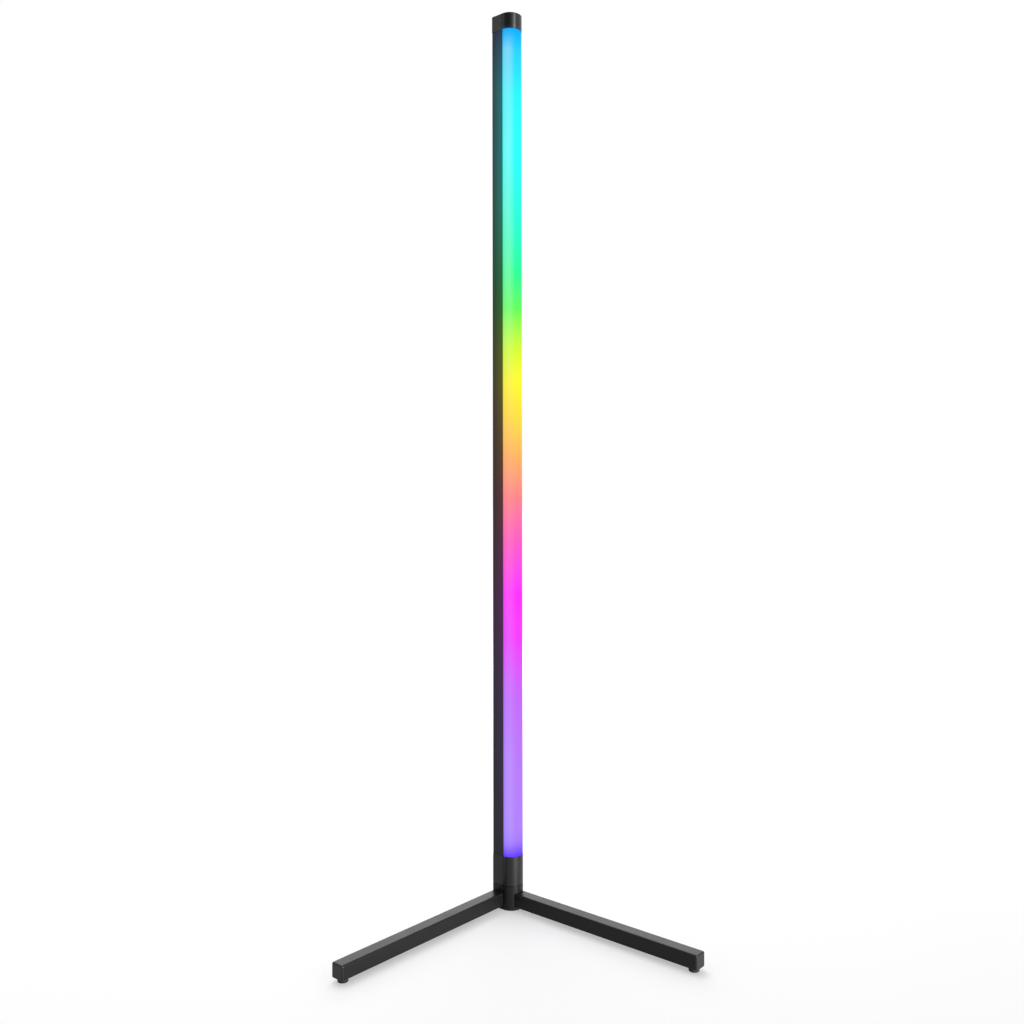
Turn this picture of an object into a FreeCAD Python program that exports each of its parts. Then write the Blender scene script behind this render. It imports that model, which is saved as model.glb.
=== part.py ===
import FreeCAD, Part
import math
import os

# Corner floor lamp. A slim column with a D-shaped section turns on a small D-shaped hub.
# Two square legs leave the hub at a right angle and run along the two walls of the corner.
# The round front of the column is an opal light shade over a strip of coloured lights.
#
# All lengths are in millimetres and all angles in degrees. The pieces are drawn with the
# origin on the floor under the swivel axis, +Z up, the round front of the column facing +X,
# the right leg along +X and the left leg along -Y. The finished pieces are then turned by
# frame_turn, so that the V of the legs opens evenly towards -Y.

V = FreeCAD.Vector
UP = V(0, 0, 1)
FRONT = V(1, 0, 0)

# ---------------------------------------------------------------- driving dimensions
lamp_height = 1320.0
frame_turn = -45.0

# Legs: square steel tube
leg_width = 20.0
leg_wall = 2.0
leg_edge_radius = 2.5
leg_bore_edge_radius = 0.5
leg_reach = 326.0
foot_height = 5.0
foot_radius = 7.0
foot_edge_radius = 1.2
foot_inset = 10.0
foot_recess = 2.8
plug_flange = 3.0
plug_edge_radius = 1.8
plug_tongue = 18.0
plug_clearance = 0.1
spigot_length = 40.0
spigot_edge_radius = 1.0
spigot_chamfer = 0.7
spigot_clearance = 0.1

# Column section: half round front, flat sides and flat back
column_width = 35.0
rear_corner_radius = 1.5
inner_corner_radius = 0.6
end_piece_proud = 0.4
notch_width = 0.8
notch_depth = 0.5

# Column extrusion and light shade
channel_wall = 1.3
web_front = 5.65
web_thickness = 1.3
port_radius = 3.2
port_bite = 0.4
port_bore_radius = 1.65
shade_wall = 1.5
shade_joint = 0.5
shade_lip = 1.2
shade_lip_length = 4.5
shade_shoulder = 1.5
shade_clearance = 0.1
shade_end_gap = 0.3
snap_height = 0.3
snap_width = 1.0
snap_back = 3.2

# Light strip
strip_width = 10.0
strip_thickness = 0.3
strip_bottom_margin = 5.5
strip_top_margin = 9.0
light_size = 5.0
light_height = 1.6
light_pitch = 16.7
first_light = 9.0

# Top cap
cap_height = 24.0
cap_roof = 3.0
end_wall = 2.5
cap_bevel = 1.0
lug_length = 8.0
lug_root = 6.0
lug_thickness = 1.3
lug_width = 4.0
boss_wall = 2.0

# Lower housing
housing_height = 42.5
housing_floor = 6.0
edge_break = 0.3

# Swivel
seam_gap = 0.5
swivel_recess = 1.0
shoulder_radius = 5.0
running_clearance = 0.05
washer_clearance = 0.1
washer_radius = 9.0
washer_thickness = 1.0
bush_wall = 0.95
bush_flange = 1.0
fixed_clearance = 0.05
cone_rise = 1.6
cone_sheet = 0.9
bolt_head_radius = 8.0
bolt_head_height = 5.0
bolt_socket = 5.0
bolt_socket_depth = 2.5
bolt_thread_radius = 3.95
bolt_thread_length = 10.0
stop_pin_radius = 1.5
stop_pin_length = 10.0
stop_pin_top_gap = 0.5
stop_circle = 12.0
stop_track_side = 0.3
stop_track_depth = 3.0
stop_lug_width = 3.0

# Hub
hub_crown = 10.5
hub_block = 13.5
hub_wall = 3.5
leg_seat_depth = 0.85
leg_seat_clearance = 0.1
front_web = 4.25
pad_thickness = 1.5
pad_inset = 1.0
plate_thickness = 2.0
plate_rim = 1.5
plate_clearance = 0.2
plate_screw_x = -9.0
plate_screw_y = 9.0
plate_boss_radius = 3.5

# Controller board and power inlet
board_height = 24.0
board_thickness = 1.6
board_x = 4.0
board_gap_above_bolt = 1.4
rail_width = 1.2
rail_depth = 1.9
rail_clearance = 0.1
inlet_body_radius = 4.0
inlet_length = 13.0
inlet_flange_radius = 5.5
inlet_flange = 1.5
inlet_bore_radius = 2.85
inlet_bore_depth = 9.5
inlet_pin_radius = 1.0
inlet_pin_recess = 1.0
inlet_rise = 9.4
nut_flats = 11.0
nut_thickness = 2.5
wire_radius = 0.6
wire_bend = 1.3
wire_spacing = 2.0
wire_pad_spacing = 3.0
wire_lead = 3.5
wire_landing = 2.0

# Screws: shank radius, head radius, head height and key size
port_screw = {"shank": 1.6, "head": 3.1, "height": 2.6, "key": 2.0}
cap_screw = {"shank": 1.6, "head": 3.5, "height": 2.0, "key": 2.0}
leg_screw = {"shank": 2.45, "head": 4.7, "height": 2.6, "key": 3.0}
foot_screw = {"shank": 1.95, "head": 3.5, "height": 2.2, "key": 2.5}
plate_screw = {"shank": 1.45, "head": 2.8, "height": 1.4, "key": 1.6}
port_screw_grip = 18.0
cap_screw_grip = 15.0
leg_screw_grip = 10.0
foot_screw_grip = 10.0
plate_screw_grip = 8.0
screw_clearance = 0.25
thread_clearance = 0.05
cut_margin = 1.0
key_share = 0.6
head_round_share = 0.4
leg_screw_first = 12.0
leg_screw_spacing = 17.0

# ---------------------------------------------------------------- derived places
half_width = column_width / 2
flat_length = leg_width
column_depth = flat_length + half_width
back_x = -column_depth / 2
round_x = column_depth / 2 - half_width
outer_half = half_width + end_piece_proud
outer_back_x = back_x - end_piece_proud
leg_axis_x = back_x + leg_width / 2
leg_bottom = foot_height
leg_top = leg_bottom + leg_width
leg_middle = leg_bottom + leg_width / 2
hub_bottom = pad_thickness
hub_top = leg_top + hub_crown
housing_bottom = hub_top + seam_gap
housing_top = housing_bottom + housing_height
floor_top = housing_bottom + housing_floor
column_top = lamp_height - cap_height
recess_floor = hub_top - swivel_recess
bush_top = floor_top + bush_flange
bolt_head_bottom = bush_top + washer_thickness + cone_rise
bolt_head_top = bolt_head_bottom + bolt_head_height
web_face_x = round_x - web_front
port_inset = channel_wall + port_radius - port_bite
port_x = back_x + port_inset
port_y = half_width - port_inset
lip_outer_y = half_width - channel_wall - shade_clearance
lip_inner_y = lip_outer_y - shade_lip
shoulder_x = round_x + shade_joint
lug_outer_y = lip_inner_y - shade_clearance
lug_middle_x = shoulder_x - shade_lip_length / 2
boss_radius = port_screw["shank"] + screw_clearance + boss_wall
board_bottom = bolt_head_top + board_gap_above_bolt
board_top = board_bottom + board_height
board_front_x = board_x + board_thickness
board_half = math.sqrt((outer_half - end_wall) ** 2 - (board_front_x - round_x) ** 2) - 2 * rail_clearance
inlet_z = bolt_head_top + inlet_rise
inlet_end_x = outer_back_x + inlet_length
leg_bore = leg_width - 2 * leg_wall
tube_end = leg_reach - plug_flange
left_tube_start = outer_half
right_seat_x = round_x + math.sqrt(outer_half ** 2 - (leg_width / 2) ** 2) - leg_seat_depth
right_tube_start = right_seat_x - leg_axis_x


# ---------------------------------------------------------------- general shapes
def box(x_low, x_high, y_low, y_high, z_low, z_high):
    """A block given by its two limits along each axis."""
    size = (x_high - x_low, y_high - y_low, z_high - z_low)
    return Part.makeBox(size[0], size[1], size[2], V(x_low, y_low, z_low))


def cylinder(x, y, z_low, z_high, radius):
    """An upright round bar."""
    return Part.makeCylinder(radius, z_high - z_low, V(x, y, z_low), UP)


def ring(inner_radius, outer_radius, z_low, z_high):
    """An upright ring round the swivel axis."""
    outer = cylinder(0, 0, z_low, z_high, outer_radius)
    return outer.cut(cylinder(0, 0, z_low, z_high, inner_radius))


def joined(shapes):
    """One solid from touching or overlapping shapes."""
    body = shapes[0]
    for other in shapes[1:]:
        body = body.fuse(other)
    return body.removeSplitter()


def without(body, tools):
    """The body with each tool cut away."""
    for tool in tools:
        body = body.cut(tool)
    return body


def level_edges(shape, z):
    """The edges that lie in the level plane at height z."""
    return [e for e in shape.Edges if all(abs(v.Z - z) < 1e-4 for v in e.Vertexes)]


def hexagon(flats, height):
    """A hexagonal prism standing on the origin, given by its width across flats."""
    radius = flats / math.sqrt(3)
    corners = [V(radius * math.cos(a), radius * math.sin(a), 0)
               for a in (math.radians(60 * i) for i in range(7))]
    return Part.Face(Part.makePolygon(corners)).extrude(V(0, 0, height))


def d_prism(grow, z_low, z_high):
    """The column's D outline, made larger by grow, between two heights."""
    half = half_width + grow
    back = back_x - grow
    corner = max(rear_corner_radius + grow, inner_corner_radius)
    bend = corner * (1 - math.sqrt(0.5))
    outline = [
        Part.Arc(V(round_x, -half, 0), V(round_x + half, 0, 0), V(round_x, half, 0)),
        Part.LineSegment(V(round_x, half, 0), V(back + corner, half, 0)),
        Part.Arc(V(back + corner, half, 0), V(back + bend, half - bend, 0), V(back, half - corner, 0)),
        Part.LineSegment(V(back, half - corner, 0), V(back, corner - half, 0)),
        Part.Arc(V(back, corner - half, 0), V(back + bend, bend - half, 0), V(back + corner, -half, 0)),
        Part.LineSegment(V(back + corner, -half, 0), V(round_x, -half, 0)),
    ]
    face = Part.Face(Part.Wire([curve.toShape() for curve in outline]))
    face.translate(V(0, 0, z_low))
    return face.extrude(V(0, 0, z_high - z_low))


def side_notches(z_low, z_high):
    """The two fine upright grooves where the flat sides meet the round front."""
    notches = []
    for side in (-1, 1):
        surface = side * outer_half
        corners = [
            V(round_x - notch_width / 2, surface, z_low),
            V(round_x, surface - side * notch_depth, z_low),
            V(round_x + notch_width / 2, surface, z_low),
            V(round_x, surface + side * notch_depth, z_low),
        ]
        face = Part.Face(Part.makePolygon(corners + corners[:1]))
        notches.append(face.extrude(V(0, 0, z_high - z_low)))
    return notches


def square_bar(x_low, x_high, width, edge_radius):
    """A level square bar along +X, centred on the legs' middle height, with rounded long edges."""
    low = -width / 2
    bar = box(x_low, x_high, low, width / 2, leg_middle + low, leg_middle + width / 2)
    long_edges = [e for e in bar.Edges if abs(e.Length - (x_high - x_low)) < 1e-6
                  and abs(e.Vertexes[0].X - e.Vertexes[1].X) > 1e-6]
    return bar.makeFillet(edge_radius, long_edges)


def pan_screw(sizes, grip):
    """A screw pointing up from the origin, its round head below the origin."""
    head = Part.makeCylinder(sizes["head"], sizes["height"], V(0, 0, -sizes["height"]), UP)
    rim = level_edges(head, -sizes["height"])
    head = head.makeFillet(sizes["height"] * head_round_share, rim)
    shank = Part.makeCylinder(sizes["shank"], grip, V(0, 0, 0), UP)
    key = hexagon(sizes["key"], sizes["height"] * key_share)
    key.translate(V(0, 0, -sizes["height"]))
    return head.fuse(shank).cut(key)


def flat_screw(sizes, grip):
    """A countersunk screw pointing up, its flat head face at the origin."""
    head = Part.makeCone(sizes["head"], sizes["shank"], sizes["height"], V(0, 0, 0), UP)
    shank = Part.makeCylinder(sizes["shank"], grip, V(0, 0, 0), UP)
    key = hexagon(sizes["key"], sizes["height"] * key_share)
    return head.fuse(shank).cut(key)


def flat_screw_hole(sizes, grip):
    """The hole that a countersunk screw drops into, with its clearance."""
    wide = sizes["head"] + screw_clearance
    narrow = sizes["shank"] + screw_clearance
    cone = Part.makeCone(wide, narrow, sizes["height"], V(0, 0, 0), UP)
    return cone.fuse(Part.makeCylinder(narrow, grip, V(0, 0, 0), UP))


def moved(shape, x, y, z):
    """A copy of the shape shifted by x, y, z."""
    copy = shape.copy()
    copy.translate(V(x, y, z))
    return copy


def flipped(shape):
    """A copy of the shape turned upside down about the X axis."""
    copy = shape.copy()
    copy.rotate(V(0, 0, 0), FRONT, 180)
    return copy


def wire_along(points):
    """A round wire along straight runs joined by tangent arcs."""
    edges = []
    start = points[0]
    for before, corner, after in zip(points, points[1:], points[2:]):
        back = (before - corner).normalize()
        ahead = (after - corner).normalize()
        half_angle = back.getAngle(ahead) / 2
        tangent = wire_bend / math.tan(half_angle)
        to_centre = (back + ahead).normalize()
        middle = corner + to_centre * (wire_bend / math.sin(half_angle) - wire_bend)
        enter = corner + back * tangent
        leave = corner + ahead * tangent
        edges.append(Part.LineSegment(start, enter).toShape())
        edges.append(Part.Arc(enter, middle, leave).toShape())
        start = leave
    edges.append(Part.LineSegment(start, points[-1]).toShape())
    circle = Part.Circle(points[0], points[1] - points[0], wire_radius).toShape()
    return Part.Wire(edges).makePipeShell([Part.Wire([circle])], True, False)


# ---------------------------------------------------------------- column
def column_channel():
    """Black extrusion: flat back and sides, an inner web for the lights and two screw ports."""
    blank = d_prism(0, housing_top, column_top)
    body = blank.common(box(back_x, round_x, -half_width, half_width, housing_top, column_top))
    inner = half_width - channel_wall
    web_back = web_face_x - web_thickness
    duct = box(back_x + channel_wall, web_back, -inner, inner, housing_top, column_top)
    chamber = box(web_face_x, round_x, -inner, inner, housing_top, column_top)
    body = without(body, [duct, chamber])
    ports = [cylinder(port_x, side * port_y, housing_top, column_top, port_radius) for side in (-1, 1)]
    body = joined([body] + ports)
    bores = [cylinder(port_x, side * port_y, housing_top, column_top, port_bore_radius)
             for side in (-1, 1)]
    return without(body, bores + snap_grooves())


def snap_grooves():
    """The grooves inside the channel's side walls that the shade's lips snap into."""
    low = round_x - snap_back - shade_clearance
    high = round_x - snap_back + snap_width + shade_clearance
    inner = half_width - channel_wall
    depth = snap_height + shade_clearance
    right = box(low, high, inner - depth, inner + depth, housing_top, column_top)
    left = box(low, high, -inner - depth, -inner + depth, housing_top, column_top)
    return [left, right]


def diffuser():
    """Opal half round shade with a shoulder and a snap-in lip along each edge."""
    low = housing_top
    high = column_top - shade_end_gap
    outer = cylinder(round_x, 0, low, high, half_width)
    shell = outer.cut(cylinder(round_x, 0, low, high, half_width - shade_wall))
    front_half = box(shoulder_x, round_x + half_width, -half_width, half_width, low, high)
    pieces = [shell.common(front_half)]
    lip_end = shoulder_x - shade_lip_length
    snap_low = round_x - snap_back
    snap_high = snap_low + snap_width
    for side in (-1, 1):
        inner = side * lip_inner_y
        outer_lip = side * lip_outer_y
        snap_top = side * (lip_outer_y + snap_height)
        edge = side * half_width
        shoulder = box(shoulder_x, shoulder_x + shade_shoulder, min(inner, edge), max(inner, edge),
                       low, high)
        pieces.append(shoulder.common(outer))
        pieces.append(box(lip_end, shoulder_x + shade_shoulder / 2, min(inner, outer_lip),
                          max(inner, outer_lip), low, high))
        pieces.append(box(snap_low, snap_high, min(inner, snap_top), max(inner, snap_top), low, high))
    return joined(pieces)


def led_strip():
    """The white flexible board on the front of the channel's web."""
    half = strip_width / 2
    low = housing_top + strip_bottom_margin
    high = column_top - strip_top_margin
    return box(web_face_x, web_face_x + strip_thickness, -half, half, low, high)


def led_chips():
    """The row of square light packages along the strip."""
    face = web_face_x + strip_thickness
    half = light_size / 2
    low = housing_top + strip_bottom_margin + first_light
    high = column_top - strip_top_margin
    count = int((high - low - light_size) / light_pitch) + 1
    chips = []
    for index in range(count):
        z = low + index * light_pitch
        chips.append(box(face, face + light_height, -half, half, z, z + light_size))
    return Part.makeCompound(chips)


def locating_lugs(rim, direction):
    """Two lugs that reach past a rim into the column and back up the shade's lips."""
    tip = rim + direction * lug_length
    root = rim - direction * lug_root
    wall = outer_half - end_wall / 2
    inner = lug_outer_y - lug_thickness
    low = lug_middle_x - lug_width / 2
    high = lug_middle_x + lug_width / 2
    lugs = []
    for side in (-1, 1):
        tall = sorted((side * inner, side * lug_outer_y))
        wide = sorted((side * inner, side * wall))
        lugs.append(box(low, high, tall[0], tall[1], min(tip, root), max(tip, root)))
        lugs.append(box(low, high, wide[0], wide[1], min(rim, root), max(rim, root)))
    return lugs


def top_cap():
    """Hollow D-shaped cap with a bevelled top edge, two screw bosses and two locating lugs."""
    body = d_prism(end_piece_proud, column_top, lamp_height)
    body = body.makeChamfer(cap_bevel, level_edges(body, lamp_height))
    hollow = d_prism(end_piece_proud - end_wall, column_top, lamp_height - cap_roof)
    body = body.cut(hollow)
    inside = d_prism(0, column_top, lamp_height - cap_roof / 2)
    bosses = [cylinder(port_x, side * port_y, column_top, lamp_height - cap_roof / 2, boss_radius)
              .common(inside) for side in (-1, 1)]
    body = joined([body] + bosses + locating_lugs(column_top, -1))
    hole = flipped(flat_screw_hole(cap_screw, cap_height + cut_margin))
    holes = [moved(hole, port_x, side * port_y, lamp_height) for side in (-1, 1)]
    return without(body, holes + side_notches(column_top, lamp_height))


def top_cap_screws():
    """Two countersunk screws from the top of the cap into the channel's ports."""
    screw = flipped(flat_screw(cap_screw, cap_height + cap_screw_grip))
    return Part.makeCompound([moved(screw, port_x, side * port_y, lamp_height) for side in (-1, 1)])


# ---------------------------------------------------------------- lower housing
def lower_housing():
    """D-shaped box under the column: thick floor with the swivel track, open at the top."""
    body = d_prism(end_piece_proud, housing_bottom, housing_top)
    body = body.makeChamfer(edge_break, level_edges(body, housing_bottom))
    body = body.cut(d_prism(end_piece_proud - end_wall, floor_top, housing_top))
    inside = d_prism(0, housing_bottom + housing_floor / 2, housing_top)
    bosses = [cylinder(port_x, side * port_y, housing_bottom + housing_floor / 2, housing_top, boss_radius)
              .common(inside) for side in (-1, 1)]
    body = joined([body] + bosses + board_rails() + locating_lugs(housing_top, 1))
    cuts = [cylinder(0, 0, housing_bottom, floor_top, shoulder_radius + running_clearance
                     + bush_wall + fixed_clearance)]
    for side in (-1, 1):
        y = side * port_y
        cuts.append(cylinder(port_x, y, housing_bottom, housing_top, port_screw["shank"] + screw_clearance))
        cuts.append(cylinder(port_x, y, housing_bottom, screw_head_seat(),
                             port_screw["head"] + screw_clearance))
    cuts.append(swivel_track())
    cuts.append(Part.makeCylinder(inlet_body_radius + running_clearance, end_wall + 2 * cut_margin,
                                  V(outer_back_x - cut_margin, 0, inlet_z), FRONT))
    return without(body, cuts + side_notches(housing_bottom, housing_top))


def screw_head_seat():
    """The height at which the long screws' heads sit inside the housing's floor."""
    return housing_bottom + port_screw["height"] + edge_break


def swivel_track():
    """Ring-shaped track under the floor, with one lug left standing as the end stop."""
    reach = stop_pin_radius + stop_track_side
    top = housing_bottom + stop_track_depth
    track = ring(stop_circle - reach, stop_circle + reach, housing_bottom, top)
    half = stop_lug_width / 2
    return track.cut(box(0, stop_circle + 2 * reach, -half, half, housing_bottom, top))


def board_rails():
    """Two pairs of upright rails in the side walls that hold the controller board."""
    wall = outer_half - end_wall / 2
    inner = outer_half - end_wall - rail_depth
    gap_low = board_x - rail_clearance
    gap_high = board_front_x + rail_clearance
    rails = []
    for side in (-1, 1):
        y = sorted((side * inner, side * wall))
        for low in (gap_low - rail_width, gap_high):
            rail = box(low, low + rail_width, y[0], y[1], floor_top, board_top)
            rails.append(rail.common(d_prism(0, floor_top, board_top)))
        stop = box(gap_low - rail_width, gap_high + rail_width, y[0], y[1], floor_top, board_bottom)
        rails.append(stop.common(d_prism(0, floor_top, board_bottom)))
    return rails


def housing_screws():
    """Two long screws from the housing's floor up into the channel's ports."""
    grip = housing_top - screw_head_seat() + port_screw_grip
    screw = pan_screw(port_screw, grip)
    return Part.makeCompound([moved(screw, port_x, side * port_y, screw_head_seat()) for side in (-1, 1)])


def controller_board():
    """Circuit board that stands between the housing's rails."""
    return box(board_x, board_front_x, -board_half, board_half, board_bottom, board_top)


# Each board part: depth off the board, then its middle and its size across and up
radio_module = {"depth": 2.4, "y": -7.5, "up": 7.5, "width": 10.0, "height": 12.0}
power_block = {"depth": 5.0, "y": 0.0, "up": 18.0, "width": 9.0, "height": 6.0}
strip_socket = {"depth": 4.0, "y": 9.6, "up": 16.0, "width": 7.0, "height": 6.0}
choke_coil = {"depth": 3.0, "y": 9.0, "up": 6.0, "width": 7.0, "height": 7.0}


def board_part(sizes):
    """One block on the back face of the controller board."""
    middle = board_bottom + sizes["up"]
    return box(board_x - sizes["depth"], board_x, sizes["y"] - sizes["width"] / 2,
               sizes["y"] + sizes["width"] / 2, middle - sizes["height"] / 2, middle + sizes["height"] / 2)


def controller_parts():
    """Radio module, power terminals, strip socket and coil on the board."""
    coil = board_part(choke_coil)
    upright = [e for e in coil.Edges if abs(e.Length - choke_coil["depth"]) < 1e-6]
    coil = coil.makeFillet(choke_coil["width"] / 4, upright)
    blocks = [board_part(sizes) for sizes in (radio_module, power_block, strip_socket)]
    return Part.makeCompound(blocks + [coil])


def dc_inlet():
    """Round power socket through the back wall, with its flange outside and a centre pin."""
    flange_x = outer_back_x - inlet_flange
    flange = Part.makeCylinder(inlet_flange_radius, inlet_flange, V(flange_x, 0, inlet_z), FRONT)
    outer_rim = [e for e in flange.Edges if all(abs(v.X - flange_x) < 1e-4 for v in e.Vertexes)]
    flange = flange.makeChamfer(inlet_flange / 3, outer_rim)
    body = Part.makeCylinder(inlet_body_radius, inlet_length, V(outer_back_x, 0, inlet_z), FRONT)
    bore = Part.makeCylinder(inlet_bore_radius, inlet_bore_depth, V(flange_x, 0, inlet_z), FRONT)
    pin = Part.makeCylinder(inlet_pin_radius, inlet_bore_depth - inlet_pin_recess,
                            V(flange_x + inlet_pin_recess, 0, inlet_z), FRONT)
    return flange.fuse(body).cut(bore).fuse(pin).removeSplitter()


def inlet_nut():
    """Hexagon nut that clamps the power socket from inside."""
    nut = hexagon(nut_flats, nut_thickness)
    nut = nut.cut(Part.makeCylinder(inlet_body_radius + running_clearance, nut_thickness))
    nut.rotate(V(0, 0, 0), V(0, 1, 0), 90)
    nut.translate(V(outer_back_x + end_wall, 0, inlet_z))
    return nut


def inlet_wires():
    """Two wires from the back of the socket to the power terminals."""
    block_face = board_x - power_block["depth"]
    block_z = board_bottom + power_block["up"]
    turn_x = (inlet_end_x + block_face) / 2
    wires = []
    for side in (-1, 1):
        y = side * inlet_body_radius / 2
        points = [V(inlet_end_x, y, inlet_z), V(turn_x, y, inlet_z), V(turn_x, y, block_z),
                  V(block_face, y, block_z)]
        wires.append(wire_along(points))
    return Part.makeCompound(wires)


def strip_wires():
    """Three wires from the strip socket up to the lower end of the light strip."""
    x = board_x - strip_socket["depth"] / 2
    socket_top = board_bottom + strip_socket["up"] + strip_socket["height"] / 2
    strip_low = housing_top + strip_bottom_margin
    pad_x = web_face_x + strip_thickness + wire_radius
    wires = []
    for index in (-1, 0, 1):
        y = strip_socket["y"] + wire_spacing * index
        pad_y = wire_pad_spacing * index
        points = [V(x, y, socket_top), V(x, y, socket_top + wire_lead),
                  V(pad_x, pad_y, strip_low - wire_landing), V(pad_x, pad_y, strip_low + first_light / 2)]
        wires.append(wire_along(points))
    return Part.makeCompound(wires)


# ---------------------------------------------------------------- swivel
def swivel_bush():
    """Flanged plain bearing pressed into the housing's floor."""
    inner = shoulder_radius + running_clearance
    sleeve = ring(inner, inner + bush_wall, housing_bottom, floor_top)
    flange = ring(inner, washer_radius, floor_top, bush_top)
    return joined([sleeve, flange])


def thrust_washer():
    """Slippery washer in the hub's recess that the housing turns on."""
    return ring(shoulder_radius + washer_clearance, washer_radius, recess_floor, housing_bottom)


def head_washer():
    """Steel washer between the bush and the cone spring."""
    return ring(shoulder_radius + washer_clearance, washer_radius, bush_top, bush_top + washer_thickness)


def spring_washer():
    """Cone spring washer that keeps the swivel under load, so that it holds where it is put."""
    inner = shoulder_radius + washer_clearance
    low = bush_top + washer_thickness
    corners = [V(washer_radius, 0, low), V(washer_radius, 0, low + cone_sheet),
               V(inner, 0, low + cone_rise), V(inner, 0, low + cone_rise - cone_sheet)]
    profile = Part.Face(Part.makePolygon(corners + corners[:1]))
    return profile.revolve(V(0, 0, 0), UP, 360)


def swivel_bolt():
    """Shoulder bolt from inside the housing into the hub's crown."""
    thread = cylinder(0, 0, recess_floor - bolt_thread_length, recess_floor, bolt_thread_radius)
    shoulder = cylinder(0, 0, recess_floor, bolt_head_bottom, shoulder_radius)
    head = cylinder(0, 0, bolt_head_bottom, bolt_head_top, bolt_head_radius)
    head = head.makeChamfer(edge_break * 2, level_edges(head, bolt_head_top))
    key = moved(hexagon(bolt_socket, bolt_socket_depth), 0, 0, bolt_head_top - bolt_socket_depth)
    return joined([thread, shoulder, head]).cut(key)


def stop_pin():
    """Steel dowel in the hub that runs in the housing's track and meets its lug."""
    top = housing_bottom + stop_track_depth - stop_pin_top_gap
    return cylinder(-stop_circle, 0, top - stop_pin_length, top, stop_pin_radius)


# ---------------------------------------------------------------- hub
def hub():
    """D-shaped casting, cored from below, with a seat and a spigot for each leg."""
    body = d_prism(end_piece_proud, hub_bottom, hub_top)
    body = body.makeChamfer(edge_break, level_edges(body, hub_top))
    cavity_top = hub_top - hub_block
    cavity = d_prism(end_piece_proud - hub_wall, hub_bottom, cavity_top)
    cavity = cavity.common(box(outer_back_x, right_seat_x - front_web, -outer_half, outer_half,
                               hub_bottom, cavity_top))
    plate_room = d_prism(end_piece_proud - plate_rim, hub_bottom, hub_bottom + plate_thickness)
    seat_half = leg_width / 2 + leg_seat_clearance
    seat = box(right_seat_x, round_x + outer_half + cut_margin, -seat_half, seat_half,
               leg_middle - seat_half, leg_middle + seat_half)
    body = without(body, [cavity, plate_room, seat])
    bosses = [cylinder(plate_screw_x, side * plate_screw_y, hub_bottom + plate_thickness, cavity_top,
                       plate_boss_radius) for side in (-1, 1)]
    body = joined([body] + bosses + leg_spigots())
    cuts = [cylinder(0, 0, recess_floor - bolt_thread_length, hub_top,
                     bolt_thread_radius + thread_clearance)]
    cuts.append(cylinder(0, 0, recess_floor, hub_top, washer_radius + washer_clearance))
    pin_bottom = housing_bottom + stop_track_depth - stop_pin_top_gap - stop_pin_length
    cuts.append(cylinder(-stop_circle, 0, pin_bottom, hub_top, stop_pin_radius + thread_clearance))
    for side in (-1, 1):
        cuts.append(cylinder(plate_screw_x, side * plate_screw_y, hub_bottom,
                             hub_bottom + plate_thickness + plate_screw_grip,
                             plate_screw["shank"] + thread_clearance))
    cuts = cuts + leg_screw_holes(leg_screw["shank"] + thread_clearance)
    return without(body, cuts + side_notches(hub_bottom, hub_top))


def leg_spigots():
    """The square tongues that the leg tubes slide over, set into the hub's walls."""
    tongues = []
    for start, turn in ((left_tube_start, -90), (right_tube_start, 0)):
        end = start + spigot_length
        root = start - hub_wall / 2
        tongue = square_bar(root, end, leg_bore - 2 * spigot_clearance, spigot_edge_radius)
        tip_edges = [e for e in tongue.Edges if all(abs(v.X - end) < 1e-6 for v in e.Vertexes)]
        tongue = tongue.makeChamfer(spigot_chamfer, tip_edges)
        tongues.append(leg_placed(tongue, turn))
    return tongues


def leg_placed(shape, turn):
    """A leg piece, drawn along +X from the crossing of the legs, turned to its own direction."""
    copy = shape.copy()
    copy.rotate(V(0, 0, 0), UP, turn)
    copy.translate(V(leg_axis_x, 0, 0))
    return copy


def leg_screw_places():
    """Where the leg screws stand: distance along the leg, and the leg's turn."""
    places = []
    for start, turn in ((left_tube_start, -90), (right_tube_start, 0)):
        for index in (0, 1):
            places.append((start + leg_screw_first + index * leg_screw_spacing, turn))
    return places


def leg_screw_holes(radius):
    """Upright holes for the leg screws, as deep as the screws reach."""
    top = leg_bottom + leg_wall + leg_screw_grip
    return [leg_placed(cylinder(along, 0, leg_bottom, top, radius), turn)
            for along, turn in leg_screw_places()]


def hub_base_plate():
    """Steel plate that closes the hub from below."""
    plate = d_prism(end_piece_proud - plate_rim - plate_clearance, hub_bottom, hub_bottom + plate_thickness)
    hole = flat_screw_hole(plate_screw, plate_thickness)
    return without(plate, [moved(hole, plate_screw_x, side * plate_screw_y, hub_bottom) for side in (-1, 1)])


def base_plate_screws():
    """Two countersunk screws through the base plate."""
    screw = flat_screw(plate_screw, plate_thickness + plate_screw_grip - running_clearance)
    return Part.makeCompound([moved(screw, plate_screw_x, side * plate_screw_y, hub_bottom)
                              for side in (-1, 1)])


def hub_pad():
    """Rubber pad under the hub, a little smaller than its outline."""
    return d_prism(end_piece_proud - pad_inset, 0, pad_thickness)


# ---------------------------------------------------------------- legs
def leg_tube(start, turn):
    """Square steel tube from its seat on the hub to the end plug, drilled from below."""
    tube = square_bar(start, tube_end, leg_width, leg_edge_radius)
    tube = tube.cut(square_bar(start, tube_end, leg_bore, leg_bore_edge_radius))
    tube = leg_placed(tube, turn)
    wall_top = leg_bottom + leg_wall
    holes = [leg_placed(cylinder(along, 0, leg_bottom, wall_top, leg_screw["shank"] + screw_clearance), way)
             for along, way in leg_screw_places() if way == turn]
    foot_hole = cylinder(leg_reach - foot_inset, 0, leg_bottom, wall_top,
                         foot_screw["shank"] + screw_clearance)
    return without(tube, holes + [leg_placed(foot_hole, turn)])


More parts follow.
